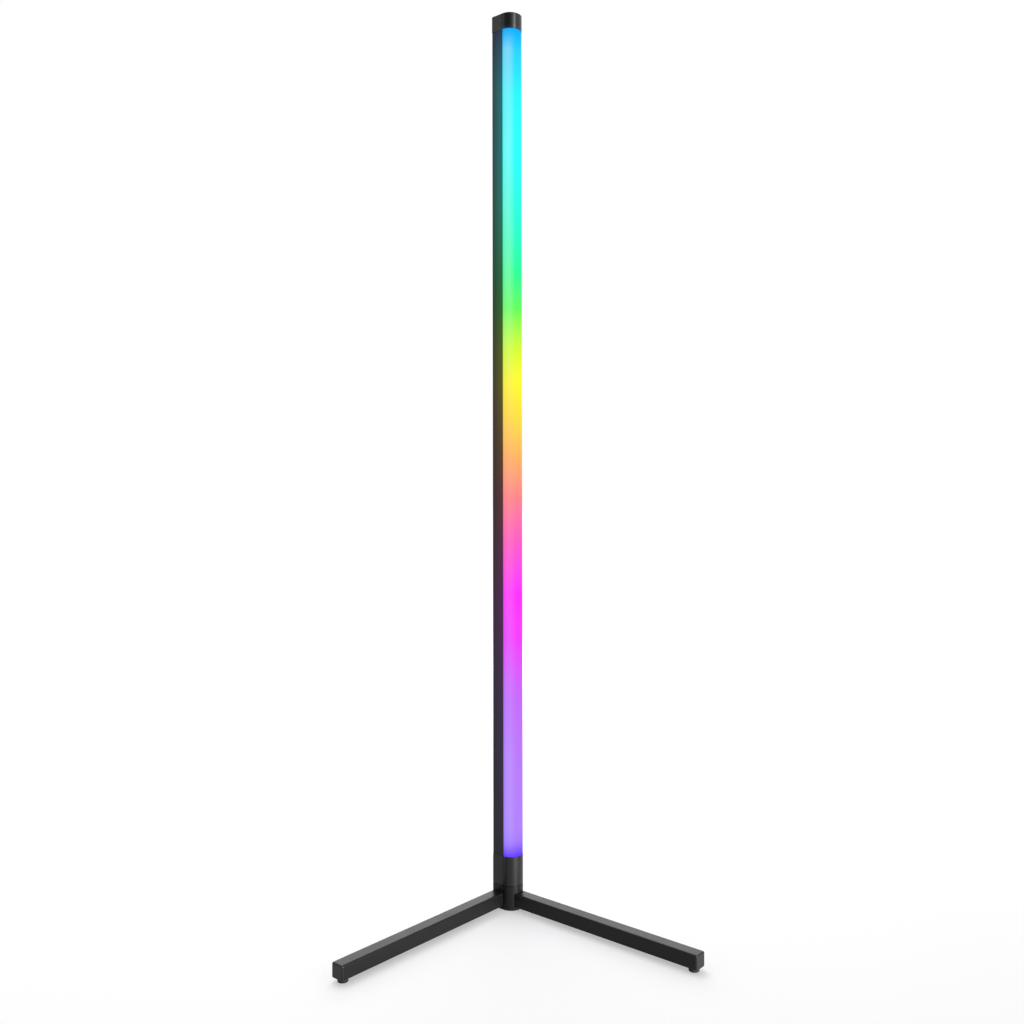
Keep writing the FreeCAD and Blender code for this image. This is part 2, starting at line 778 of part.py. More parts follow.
def end_plug(turn):
    """Moulded plug that closes a leg's end, with rounded outer edges and a tongue in the tube."""
    half = leg_width / 2
    flange = square_bar(tube_end, leg_reach, leg_width, leg_edge_radius)
    rim = [e for e in flange.Edges if all(abs(v.X - leg_reach) < 1e-6 for v in e.Vertexes)]
    flange = flange.makeFillet(plug_edge_radius, rim)
    tongue = square_bar(tube_end - plug_tongue, tube_end + plug_flange / 2, leg_bore - 2 * plug_clearance,
                        leg_bore_edge_radius)
    plug = flange.fuse(tongue).removeSplitter()
    hole = cylinder(leg_reach - foot_inset, 0, leg_middle - half, leg_bottom + leg_wall + foot_screw_grip,
                    foot_screw["shank"] + thread_clearance)
    return leg_placed(plug.cut(hole), turn)


def foot(turn):
    """Round rubber foot with a rounded lower edge and a recess for its screw."""
    x = leg_reach - foot_inset
    body = cylinder(x, 0, 0, foot_height, foot_radius)
    body = body.makeFillet(foot_edge_radius, level_edges(body, 0))
    recess = cylinder(x, 0, 0, foot_recess, foot_screw["head"] + screw_clearance)
    hole = cylinder(x, 0, 0, foot_height, foot_screw["shank"] + screw_clearance)
    return leg_placed(without(body, [recess, hole]), turn)


def foot_screws():
    """The screws that hold the feet and pin the end plugs."""
    grip = leg_bottom + leg_wall + foot_screw_grip - foot_recess - running_clearance
    screw = pan_screw(foot_screw, grip)
    upright = moved(screw, leg_reach - foot_inset, 0, foot_recess)
    return Part.makeCompound([leg_placed(upright, turn) for turn in (-90, 0)])


def leg_screws():
    """Four screws from below, through the tubes into the hub's spigots."""
    screw = pan_screw(leg_screw, leg_wall + leg_screw_grip - running_clearance)
    return Part.makeCompound([leg_placed(moved(screw, along, 0, leg_bottom), turn)
                              for along, turn in leg_screw_places()])


# ---------------------------------------------------------------- output
def write_part(node, shape):
    """Turns a finished piece into the lamp's frame and writes it."""
    placed = shape.copy()
    placed.rotate(V(0, 0, 0), UP, frame_turn)
    placed.exportStep(os.path.join("parts", node + ".step"))


def main():
    """Builds and writes every piece of the lamp."""
    os.makedirs("parts", exist_ok=True)
    pieces = {
        "top_cap": top_cap(),
        "top_cap_screws": top_cap_screws(),
        "column_channel": column_channel(),
        "diffuser": diffuser(),
        "led_strip": led_strip(),
        "led_chips": led_chips(),
        "lower_housing": lower_housing(),
        "housing_screws": housing_screws(),
        "controller_board": controller_board(),
        "controller_parts": controller_parts(),
        "dc_inlet": dc_inlet(),
        "inlet_nut": inlet_nut(),
        "inlet_wires": inlet_wires(),
        "strip_wires": strip_wires(),
        "swivel_bush": swivel_bush(),
        "thrust_washer": thrust_washer(),
        "head_washer": head_washer(),
        "spring_washer": spring_washer(),
        "swivel_bolt": swivel_bolt(),
        "stop_pin": stop_pin(),
        "hub": hub(),
        "hub_base_plate": hub_base_plate(),
        "base_plate_screws": base_plate_screws(),
        "hub_pad": hub_pad(),
        "left_leg": leg_tube(left_tube_start, -90),
        "right_leg": leg_tube(right_tube_start, 0),
        "left_end_plug": end_plug(-90),
        "right_end_plug": end_plug(0),
        "left_foot": foot(-90),
        "right_foot": foot(0),
        "foot_screws": foot_screws(),
        "leg_screws": leg_screws(),
    }
    for node, shape in pieces.items():
        write_part(node, shape)
        print(node, len(shape.Solids), "solid(s)", round(shape.Volume), "mm3")


main()
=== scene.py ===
"""Corner floor lamp: smooth outer shells, finishes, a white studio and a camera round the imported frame.

The lamp's own axes have the swivel axis as Z, the round front of the column towards +X, the right leg
along +X and the left leg along -Y. The frame turns them by TURN. Outlines are drawn in the lamp's own
axes and turned once, when a piece is placed. All lengths are in metres.
"""

import logging
import math
from dataclasses import dataclass
from enum import Enum
from typing import Callable, Iterable, Optional, Sequence, Union

import bmesh
import bpy
from mathutils import Matrix, Vector


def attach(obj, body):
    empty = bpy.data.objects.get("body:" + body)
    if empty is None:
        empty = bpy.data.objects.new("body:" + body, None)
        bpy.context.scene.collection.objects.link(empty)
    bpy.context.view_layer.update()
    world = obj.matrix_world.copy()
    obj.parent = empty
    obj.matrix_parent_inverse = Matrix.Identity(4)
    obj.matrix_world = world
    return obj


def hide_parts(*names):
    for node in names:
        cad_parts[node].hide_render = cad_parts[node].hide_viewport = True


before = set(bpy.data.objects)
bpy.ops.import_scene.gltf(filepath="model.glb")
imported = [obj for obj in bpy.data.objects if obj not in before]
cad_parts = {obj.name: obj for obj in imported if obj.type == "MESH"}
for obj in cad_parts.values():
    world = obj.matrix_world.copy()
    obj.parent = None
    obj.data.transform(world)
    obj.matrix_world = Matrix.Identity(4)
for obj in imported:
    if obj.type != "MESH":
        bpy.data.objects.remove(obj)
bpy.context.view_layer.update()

log = logging.getLogger("corner_lamp")

MM = 0.001
WELD = MM / 1000
TURN = math.radians(-45)
PHOTO_SIZE = 1024
SHARP_EDGE = math.radians(34)
RING_POINTS = 48
MIDDLE_SHARE = 0.3  # inset of the middle point where a rounding has only two steps, as a share of its radius

Ring = list[Vector]
Colour = tuple[float, float, float]
Mesh = bmesh.types.BMesh
Object = bpy.types.Object


class Body(Enum):
    """The two bodies that the swivel joins."""

    BASE = "base"
    COLUMN = "column"


class Slot(Enum):
    """Material slots of the record, passed along with the pieces."""

    BLACK_ANODISED = "black_anodised"
    BLACK_COAT = "black_coat"
    BLACK_MOULDING = "black_moulding"
    OPAL_SHADE = "opal_shade"
    LIGHT_PACKAGE = "light_package"
    BRIGHT_STEEL = "bright_steel"
    BLACK_SCREW = "black_screw"
    BLACK_RUBBER = "black_rubber"


# ---------------- outlines
def arc(centre: tuple[float, float], radius: float, start: float, end: float, steps: int) -> Ring:
    """Points along an arc in the XY plane.

    Args:
        centre: the arc's centre.
        radius: its radius.
        start: its first angle, in degrees.
        end: its last angle, in degrees.
        steps: how many straight steps it takes.

    Returns:
        Its steps + 1 points.
    """
    turns = [math.radians(start + (end - start) * i / steps) for i in range(steps + 1)]
    return [Vector((centre[0] + radius * math.cos(t), centre[1] + radius * math.sin(t), 0)) for t in turns]


def circle(radius: float, height: float, count: int = RING_POINTS) -> Ring:
    """A level circle round the Z axis."""
    turns = [2 * math.pi * i / count for i in range(count)]
    return [Vector((radius * math.cos(t), radius * math.sin(t), height)) for t in turns]


def hexagon(flats: float, height: float) -> Ring:
    """A level hexagon round the Z axis, with as many points as the circle that it is joined to.

    Args:
        flats: distance between opposite sides.
        height: its height.

    Returns:
        Its points.
    """
    points, sector = [], math.pi / 3
    for i in range(RING_POINTS):
        turn = 2 * math.pi * i / RING_POINTS
        radius = flats / 2 / math.cos((turn % sector) - sector / 2)
        points.append(Vector((radius * math.cos(turn), radius * math.sin(turn), height)))
    return points


def rounding(radius: float, steps: int) -> list[tuple[float, float]]:
    """A quarter round as pairs of inset and depth, from (0, radius) to (radius, 0)."""
    turns = [math.pi / 2 * i / steps for i in range(steps + 1)]
    return [(radius * (1 - math.cos(t)), radius * (1 - math.sin(t))) for t in turns]


def rounded_square(width: float, corner: float, along: float, steps: int = 5) -> Ring:
    """An upright rounded square, centred on the X axis.

    Args:
        width: distance between opposite sides.
        corner: radius of its corners.
        along: its place on the X axis.
        steps: straight steps in each corner.

    Returns:
        Its points.
    """
    inner, points = width / 2 - corner, []
    for quarter, (y, z) in enumerate(((1, 1), (-1, 1), (-1, -1), (1, -1))):
        bend = arc((y * inner, z * inner), corner, 90 * quarter, 90 * quarter + 90, steps)
        points += [Vector((along, p.x, p.y)) for p in bend]
    return points


def mirrored(half: Ring) -> Ring:
    """A half outline with its mirror image across the X axis."""
    return half + [Vector((p.x, -p.y, 0)) for p in reversed(half)]


@dataclass(frozen=True)
class DSection:
    """The column's D outline: half round front, two flat sides with a fine groove, and a flat back."""

    half_width: float
    back: float
    round_x: float
    corner: float = 1.5 * MM
    least_corner: float = 0.5 * MM
    notch_half: float = 0.4 * MM
    front_steps: int = 64
    corner_steps: int = 6
    rim_steps: int = 4

    def ring(self, grow: float, height: float, notch: float = 0.0) -> Ring:
        """The outline at one height.

        Args:
            grow: how much larger than the column the outline is, on every side.
            height: its height.
            notch: depth of the groove where flat and round meet.

        Returns:
            Its points, anticlockwise, always as many.
        """
        half, back, x = self.half_width + grow, self.back - grow, self.round_x
        corner = max(self.corner + grow, self.least_corner)
        lean = math.degrees(math.asin(self.notch_half / half))
        points = arc((x, 0), half, lean - 90, 90 - lean, self.front_steps)
        points += [Vector((x, half - notch, 0)), Vector((x - self.notch_half, half, 0))]
        points += arc((back + corner, half - corner), corner, 90, 180, self.corner_steps)
        points += arc((back + corner, corner - half), corner, 180, 270, self.corner_steps)
        points += [Vector((x - self.notch_half, -half, 0)), Vector((x, notch - half, 0))]
        return [Vector((p.x, p.y, height)) for p in points]

    def rim(self, grow: float, end: float, way: int, radius: float, notch: float) -> list[Ring]:
        """The rounded end of a wall.

        Args:
            grow: how far the wall stands outside the column.
            end: height of its end.
            way: 1 for an upper end, -1 for a lower end.
            radius: radius of the rounding.
            notch: depth of the side grooves.

        Returns:
            The rings from the wall to its end.
        """
        return [self.ring(grow - inset, end - way * depth, notch)
                for inset, depth in rounding(radius, self.rim_steps)]


# ---------------- meshes
def lofted(rings: Sequence[Ring], closed_ends: bool = True) -> Mesh:
    """Skins a row of rings that have equally many points.

    Args:
        rings: the rings, in order.
        closed_ends: whether the first and last ring are closed by a face; otherwise they are joined.

    Returns:
        A closed mesh whose faces point outwards.
    """
    mesh = bmesh.new()
    loops = [[mesh.verts.new(point) for point in ring] for ring in rings]
    pairs = list(zip(loops, loops[1:]))
    if closed_ends:
        mesh.faces.new(loops[0])
        mesh.faces.new(loops[-1])
    else:
        pairs.append((loops[-1], loops[0]))
    for near, far in pairs:
        for i, corner in enumerate(near):
            j = (i + 1) % len(near)
            mesh.faces.new((corner, near[j], far[j], far[i]))
    bmesh.ops.remove_doubles(mesh, verts=mesh.verts, dist=WELD)
    bmesh.ops.recalc_face_normals(mesh, faces=mesh.faces)
    return mesh


def spun(profile: Sequence[tuple[float, float]], closed_ends: bool = True) -> Mesh:
    """A form turned round the Z axis, from pairs of radius and height."""
    return lofted([circle(radius, height) for radius, height in profile], closed_ends)


def edge_loops(outlines: Iterable[Ring]) -> Mesh:
    """A mesh of closed rows of edges, which the extrusion recipe fills.

    Args:
        outlines: the rows' points.

    Returns:
        The mesh.
    """
    mesh = bmesh.new()
    for outline in outlines:
        corners = [mesh.verts.new(point) for point in outline]
        for i, corner in enumerate(corners):
            mesh.edges.new((corner, corners[(i + 1) % len(corners)]))
    return mesh


def loose_points(points: Iterable[Vector]) -> Mesh:
    """A mesh of single points, where a recipe sets its copies."""
    mesh = bmesh.new()
    for point in points:
        mesh.verts.new(point)
    return mesh


def block(low: Sequence[float], high: Sequence[float]) -> Mesh:
    """A plain block for cutting, given by two corners."""
    ring = [(low[0], low[1]), (high[0], low[1]), (high[0], high[1]), (low[0], high[1])]
    return lofted([[Vector((x, y, z)) for x, y in ring] for z in (low[2], high[2])])


def shifted(mesh: Mesh, offset: Sequence[float]) -> Mesh:
    """Moves a mesh and hands it back."""
    bmesh.ops.translate(mesh, verts=mesh.verts, vec=Vector(offset))
    return mesh


def turned(mesh: Mesh, degrees: float, axis: str) -> Mesh:
    """Turns a mesh about an axis through the origin and hands it back."""
    turn = Matrix.Rotation(math.radians(degrees), 3, axis)
    bmesh.ops.rotate(mesh, verts=mesh.verts, cent=(0, 0, 0), matrix=turn)
    return mesh


def raw_object(name: str, mesh: Mesh) -> Object:
    """Links a mesh to the scene as an object at the origin.

    Args:
        name: the object's name.
        mesh: its mesh, which is used up.

    Returns:
        The object.
    """
    data = bpy.data.meshes.new(name)
    mesh.to_mesh(data)
    mesh.free()
    made = bpy.data.objects.new(name, data)
    bpy.context.scene.collection.objects.link(made)
    return made


def settle(made: Object) -> None:
    """Turns an object's live modifiers into its plain mesh."""
    bpy.context.view_layer.update()
    evaluated = made.evaluated_get(bpy.context.evaluated_depsgraph_get())
    plain = bpy.data.meshes.new_from_object(evaluated)
    made.modifiers.clear()
    made.data = plain


def discard(made: Object) -> None:
    """Removes a helper object."""
    bpy.data.objects.remove(made, do_unlink=True)


def carve(made: Object, tools: Sequence[Mesh]) -> None:
    """Cuts tools out of an object's mesh.

    Args:
        made: the object.
        tools: the tools' meshes, which are used up.
    """
    for index, tool in enumerate(tools):
        cutter = raw_object(f"{made.name}_cutter_{index}", tool)
        cut = made.modifiers.new("cut", "BOOLEAN")
        cut.operation = "DIFFERENCE"
        cut.solver = "EXACT"
        cut.object = cutter
        settle(made)
        discard(cutter)


def soften(made: Object) -> None:
    """Shades an object smoothly across gentle bends, with crisp edges and calm flat faces."""
    mesh = bmesh.new()
    mesh.from_mesh(made.data)
    for face in mesh.faces:
        face.smooth = True
    for edge in mesh.edges:
        edge.smooth = len(edge.link_faces) == 2 and edge.calc_face_angle(0) < SHARP_EDGE
    mesh.to_mesh(made.data)
    mesh.free()
    calm = made.modifiers.new("calm_faces", "WEIGHTED_NORMAL")
    calm.keep_sharp = True
    settle(made)


# ---------------- node trees
def maths(operation: str, swapped: bool = False) -> Callable[..., "Signal"]:
    """Makes a method of Signal that adds one Math node.

    Args:
        operation: the node's operation.
        swapped: whether the signal itself comes last, as in 1 - mask.

    Returns:
        The method.
    """
    def method(self: "Signal", *others: "Term") -> "Signal":
        """Adds the node, with the signal and the other terms."""
        terms = (*others, self) if swapped else (self, *others)
        return self.graph.node("ShaderNodeMath", dict(enumerate(terms)), operation=operation)
    return method


class Signal:
    """A node's output that takes part in Python arithmetic."""

    def __init__(self, graph: "Graph", socket: bpy.types.NodeSocket) -> None:
        """Wraps one output socket of a graph."""
        self.graph = graph
        self.socket = socket

    __add__ = __radd__ = maths("ADD")
    __sub__, __rsub__ = maths("SUBTRACT"), maths("SUBTRACT", swapped=True)
    __mul__ = __rmul__ = maths("MULTIPLY")
    __truediv__, __rtruediv__ = maths("DIVIDE"), maths("DIVIDE", swapped=True)
    __mod__, __rmod__ = maths("FLOORED_MODULO"), maths("FLOORED_MODULO", swapped=True)
    __pow__, __rpow__ = maths("POWER"), maths("POWER", swapped=True)
    __lt__, __gt__ = maths("LESS_THAN"), maths("GREATER_THAN")
    __abs__ = maths("ABSOLUTE")
    larger = maths("MAXIMUM")
    angle_from = maths("ARCTAN2")

    def rise(self, start: float, end: float) -> "Signal":
        """A soft step from 0 where self is at start to 1 where it is at end."""
        span = {"Value": self, "From Min": start, "From Max": end}
        return self.graph.node("ShaderNodeMapRange", span, interpolation_type="SMOOTHSTEP")


Term = Union[Signal, float]
Tint = Union[Signal, Sequence[float]]


class Graph:
    """Writes one node tree."""

    def __init__(self, tree: bpy.types.NodeTree) -> None:
        """Starts on an emptied tree."""
        self.tree = tree
        tree.nodes.clear()

    def node(self, kind: str, inputs: Optional[dict] = None, output: Union[int, str] = 0,
             **settings: object) -> Signal:
        """Adds one node.

        Args:
            kind: the node's type.
            inputs: value, signal or list of signals for each socket, by name or by number.
            output: which output is handed back, by name or by number.
            settings: its properties, set first; stops gives a ramp's (place, colour) pairs.

        Returns:
            That output, or the node's first input where it has no output.
        """
        made = self.tree.nodes.new(kind)
        for key, value in settings.items():
            if key == "stops":
                self._set_stops(made.color_ramp, value)
            else:
                setattr(made, key, value)
        for key, value in (inputs or {}).items():
            socket = made.inputs[key]
            if isinstance(value, (Signal, list)):
                for signal in reversed(value if isinstance(value, list) else [value]):
                    self.tree.links.new(signal.socket, socket)
            else:
                socket.default_value = value
        return Signal(self, made.outputs[output] if made.outputs else made.inputs[0])

    @staticmethod
    def _set_stops(ramp: bpy.types.ColorRamp, stops: Sequence[tuple[float, Sequence[float]]]) -> None:
        """Gives a ramp its stops.

        Args:
            ramp: the ramp.
            stops: place and colour of each stop, in rising order.
        """
        while len(ramp.elements) < len(stops):
            ramp.elements.new(1.0)
        for element, (place, _) in zip(ramp.elements, stops):
            element.position = place
        for element, (_, colour) in zip(ramp.elements, stops):
            element.color = colour

    def ramp(self, value: Signal, stops: Sequence[tuple[float, float]]) -> Signal:
        """A number that follows another one along straight stretches."""
        grey = [(place, (level, level, level, 1)) for place, level in stops]
        return self.node("ShaderNodeValToRGB", {0: value}, stops=grey)

    def blend(self, share: Term, first: Tint, second: Tint) -> Signal:
        """Mixes two colours, each a signal or red, green and blue."""
        ends = [tint if isinstance(tint, Signal) else (*tint, 1) for tint in (first, second)]
        return self.node("ShaderNodeMix", {0: share, 6: ends[0], 7: ends[1]}, 2, data_type="RGBA")

    def noise(self, place: Signal, scale: float, detail: float = 2.0) -> Signal:
        """Smooth noise from 0 to 1, with scale spots per metre."""
        return self.node("ShaderNodeTexNoise", {"Vector": place, "Scale": scale, "Detail": detail})

    def bump(self, height: Signal, depth: float) -> Signal:
        """A bumped normal, depth metres deep."""
        return self.node("ShaderNodeBump", {"Height": height, "Distance": depth, "Strength": 1.0})

    def stretched(self, scale: Sequence[float] = (1, 1, 1)) -> Signal:
        """Object coordinates in the lamp's own axes, stretched along each axis."""
        place = self.node("ShaderNodeTexCoord", output="Object")
        own = self.node("ShaderNodeMapping", {"Vector": place, "Rotation": (0, 0, -TURN)})
        return self.node("ShaderNodeVectorMath", {0: own, 1: scale}, operation="MULTIPLY")

    def own_axes(self) -> tuple[Signal, ...]:
        """Where a point is in the lamp's own axes, as x, y and z."""
        place = self.stretched()
        return tuple(self.node("ShaderNodeSeparateXYZ", {0: place}, axis) for axis in "XYZ")


def new_material(name: str) -> tuple[bpy.types.Material, Graph]:
    """A material and its empty graph."""
    made = bpy.data.materials.new(name)
    made.use_nodes = True
    return made, Graph(made.node_tree)


def linear(*levels: int) -> Colour:
    """A display colour, 0 to 255, as the linear colour that shows as it."""
    return tuple(((c / 255 + 0.055) / 1.055) ** 2.4 if c > 10 else c / 255 / 12.92 for c in levels)


# ---------------- finishes
@dataclass(frozen=True)
class LightProgram:
    """The still rainbow that the lamp shows, from the shade's lower end to its upper end."""

    low: float
    high: float

    def stops(self) -> list[tuple[float, Sequence[float]]]:
        """Where each colour is up the shade, and the colour with the white that washes it out as alpha."""
        rainbow = (
            (0.000, (92, 46, 250), 0.02), (0.008, (122, 84, 254), 0.06), (0.018, (156, 112, 254), 0.09),
            (0.035, (164, 120, 254), 0.11), (0.110, (172, 112, 254), 0.12), (0.190, (184, 96, 254), 0.10),
            (0.260, (228, 52, 254), 0.07), (0.315, (254, 36, 250), 0.06), (0.380, (254, 84, 186), 0.07),
            (0.430, (254, 122, 132), 0.08), (0.480, (254, 170, 92), 0.07), (0.530, (254, 214, 60), 0.06),
            (0.570, (250, 240, 40), 0.06), (0.610, (206, 251, 44), 0.08), (0.660, (90, 252, 80), 0.14),
            (0.700, (30, 252, 140), 0.15), (0.760, (24, 252, 204), 0.15), (0.850, (24, 254, 252), 0.16),
            (0.920, (20, 244, 254), 0.16), (0.975, (12, 206, 254), 0.21), (0.992, (4, 184, 252), 0.05),
            (1.000, (2, 168, 250), 0.01))
        return [(share, (*linear(*colour), wash)) for share, colour, wash in rainbow]

    def share(self, height: Signal) -> Signal:
        """How far up the shade a height is, from 0 to 1."""
        return (height - self.low) / (self.high - self.low)

    def colour(self, graph: Graph, height: Signal) -> tuple[Signal, Signal]:
        """Looks up the colour at a height, and the share of white in it where it is palest."""
        colour = graph.node("ShaderNodeValToRGB", {0: self.share(height)}, stops=self.stops())
        return colour, Signal(graph, colour.socket.node.outputs["Alpha"])


@dataclass(frozen=True)
class Finish:
    """A finish whose colour, gloss and grain come from noise on the piece's own coordinates."""

    name: str
    colour: Colour
    roughness: float = 0.4
    reflectance: float = 0.5
    metal: float = 0.0
    mottle: float = 0.15
    grain: float = 900.0
    grain_depth: float = 0.02 * MM
    stretch: tuple[float, float, float] = (1.0, 1.0, 1.0)
    broad_ratio: float = 25.0
    broad_detail: float = 3.0
    broad_gloss: float = 0.12
    fine_gloss: float = 0.08
    light_rays: str = "AUTO"

    def material(self) -> bpy.types.Material:
        """Builds the material once and hands it back."""
        made = bpy.data.materials.get(self.name)
        if made is None:
            made, graph = new_material(self.name)
            made.diffuse_color = (*self.colour, 1)
            surface = graph.node("ShaderNodeBsdfPrincipled", self.sockets(graph))
            graph.node("ShaderNodeOutputMaterial", {"Surface": surface})
            made.cycles.emission_sampling = self.light_rays
        return made

    def sockets(self, graph: Graph) -> dict:
        """What the surface shader's sockets get.

        Args:
            graph: the material's graph.

        Returns:
            Value or signal of each socket, by name.
        """
        place = graph.stretched(self.stretch)
        fine = graph.noise(place, self.grain)
        broad = graph.noise(place, self.grain / self.broad_ratio, self.broad_detail)
        dark = [c * (1 - self.mottle) for c in self.colour]
        light = [min(1, c * (1 + self.mottle)) for c in self.colour]
        return {
            "Base Color": graph.blend(broad, dark, light),
            "Roughness": self.roughness + (broad - 0.5) * self.broad_gloss + (fine - 0.5) * self.fine_gloss,
            "Metallic": self.metal,
            "Specular IOR Level": self.reflectance,
            "Normal": graph.bump(fine, self.grain_depth),
        }


@dataclass(frozen=True)
class PaintedGlowFinish(Finish):
    """A black finish with the shade's light painted on as faint emission, too faint to need light rays of
    its own.
    """

    light_rays: str = "NONE"
    program: LightProgram = LightProgram(0, 1)
    joint_x: float = 0.0
    black: Colour = (0.0, 0.0, 0.0)

    def glow(self, graph: Graph) -> tuple[Signal, float]:
        """The painted light's colour and strength: none here."""
        return graph.blend(0.0, self.black, self.black), 0.0

    def sockets(self, graph: Graph) -> dict:
        """The finish's sockets, with the painted light added as emission."""
        colour, strength = self.glow(graph)
        return {**super().sockets(graph), "Emission Color": colour, "Emission Strength": strength}


@dataclass(frozen=True)
class CapFinish(PaintedGlowFinish):
    """Black moulding with a painted reflection of the shade's light along its lower edge, given as faint
    emission.
    """

    # height, reach and strength of the painted reflection
    depth: float = 19 * MM
    reach: float = 7 * MM
    strength: float = 0.035

    def glow(self, graph: Graph) -> tuple[Signal, float]:
        """The painted reflection: the rainbow's last colour, fading upwards and towards the back."""
        x, _, z = graph.own_axes()
        # painted reflection mask: strongest at the cap's lower edge next to the shade's joint
        near = 1 - z.rise(self.program.high, self.program.high + self.reach)
        side = x.rise(self.joint_x - self.depth, self.joint_x)
        return graph.blend(near * side, self.black, self.program.stops()[-1][1][:3]), self.strength


@dataclass(frozen=True)
class ExtrusionFinish(PaintedGlowFinish):
    """Black anodised extrusion with fine lines along it, and a painted glow of the shade's light over its
    flat sides, given as emission.
    """

    flat_y: float = 0.0
    depth: float = 20 * MM
    fade: float = 0.62
    edge_start: float = 1.2 * MM
    edge_end: float = 0.2 * MM
    # strength of the painted glow by height up the shade
    painted_glow_strengths: tuple[tuple[float, float], ...] = (
        (0.0, 0.0), (0.02, 0.012), (0.1, 0.03), (0.3, 0.055), (0.5, 0.07), (0.62, 0.09),
        (0.78, 0.14), (0.94, 0.135), (0.985, 0.09), (1.0, 0.045))

    def glow(self, graph: Graph) -> tuple[Signal, float]:
        """The painted glow: the rainbow on the flat sides, fading towards the back."""
        x, y, z = graph.own_axes()
        colour, _ = self.program.colour(graph, z)
        strength = graph.ramp(self.program.share(z), self.painted_glow_strengths)
        # painted glow mask: near the shade's joint and on the flat sides only
        from_joint = (self.joint_x - x).rise(0.0, self.depth)
        on_side = abs(y).rise(self.flat_y - self.edge_start, self.flat_y - self.edge_end)
        painted_glow_amount = strength * (1 - from_joint * self.fade) * on_side
        return graph.blend(painted_glow_amount, self.black, colour), 1.0


@dataclass(frozen=True)
class OpalFinish(Finish):
    """Lit opal shade: the program's colour by height, washed out along two bands beside the middle."""

    program: LightProgram = LightProgram(0, 1)
    round_x: float = 0.0
    body_share: float = 0.1
    glow: float = 0.84
    band_in: tuple[float, float] = (20.0, 60.0)
    band_out: tuple[float, float] = (70.0, 100.0)
    least_wash: float = 0.08
    flow_scale: float = 60.0
    flow_stretch: tuple[float, float, float] = (1.0, 1.0, 0.25)
    flow_depth: float = 0.3
    grain_gloss: float = 0.1

    def sockets(self, graph: Graph) -> dict:
        """The sockets of the lit shade.

        Args:
            graph: the material's graph.

        Returns:
            Value or signal of each socket, by name.
        """
        x, y, z = graph.own_axes()
        colour, wash = self.program.colour(graph, z)
        turn = abs(y.angle_from(x - self.round_x)) * math.degrees(1)
        band = turn.rise(*self.band_in) * (1 - turn.rise(*self.band_out))
        flow = graph.noise(graph.stretched(self.flow_stretch), self.flow_scale, 1.0)
        streaks = 1 - self.flow_depth / 2 + flow * self.flow_depth
        share = wash * (self.least_wash + band * (1 - self.least_wash)) * streaks
        glow = graph.blend(share, colour, (1, 1, 1))
        grain = graph.noise(graph.stretched(), self.grain)
        return {
            "Base Color": graph.blend(1 - self.body_share, glow, (0, 0, 0)),
            "Roughness": self.roughness + (grain - 0.5) * self.grain_gloss,
            "Specular IOR Level": self.reflectance,
            "Normal": graph.bump(grain, self.grain_depth),
            "Emission Color": glow,
            "Emission Strength": self.glow,
        }


@dataclass(frozen=True)
class LightPackageFinish(Finish):
    """White package round a phosphor window."""

    first: float = 0.0
    pitch: float = 16.7 * MM
    window: float = 2.05 * MM
    phosphor: Colour = (0.9, 0.75, 0.25)

    def sockets(self, graph: Graph) -> dict:
        """The sockets, with the round window in the middle of every package."""
        _, y, z = graph.own_axes()
        up = (z - self.first + self.pitch / 2) % self.pitch - self.pitch / 2
        inside = (y * y + up * up) ** 0.5 < self.window
        return {**super().sockets(graph), "Base Color": graph.blend(inside, self.colour, self.phosphor)}


@dataclass(frozen=True)
class StripFinish(Finish):
    """White flexible board with a row of copper pads between the light packages."""

    first: float = 0.0
    pitch: float = 16.7 * MM
    copper: Colour = (0.72, 0.36, 0.16)
    pad_half_height: float = 1.3 * MM
    pad_half_width: float = 0.8 * MM
    pad_spacing: float = 3 * MM
    pads_half_width: float = 4.2 * MM
    pad_metal: float = 0.9

    def sockets(self, graph: Graph) -> dict:
        """The sockets, with three pads half way between two packages."""
        _, y, z = graph.own_axes()
        half = self.pad_spacing / 2
        up = abs((z - self.first) % self.pitch - self.pitch / 2) < self.pad_half_height
        across = abs((y + half) % self.pad_spacing - half) < self.pad_half_width
        pad = up * across * (abs(y) < self.pads_half_width)
        return {
            **super().sockets(graph),
            "Base Color": graph.blend(pad, self.colour, self.copper),
            "Metallic": pad * self.pad_metal,
        }


@dataclass(frozen=True)
class BoardFinish(Finish):
    """Green lacquer over copper tracks."""

    track: Colour = (0.03, 0.3, 0.12)
    cells: float = 420.0
    jitter: float = 0.55
    track_width: float = 0.09

    def sockets(self, graph: Graph) -> dict:
        """The sockets, with tracks as the edges of square cells."""
        cells = {"Vector": graph.stretched(), "Scale": self.cells, "Randomness": self.jitter}
        edge = graph.node("ShaderNodeTexVoronoi", cells, feature="DISTANCE_TO_EDGE")
        tinted = graph.blend(edge < self.track_width, self.colour, self.track)
        return {**super().sockets(graph), "Base Color": tinted}


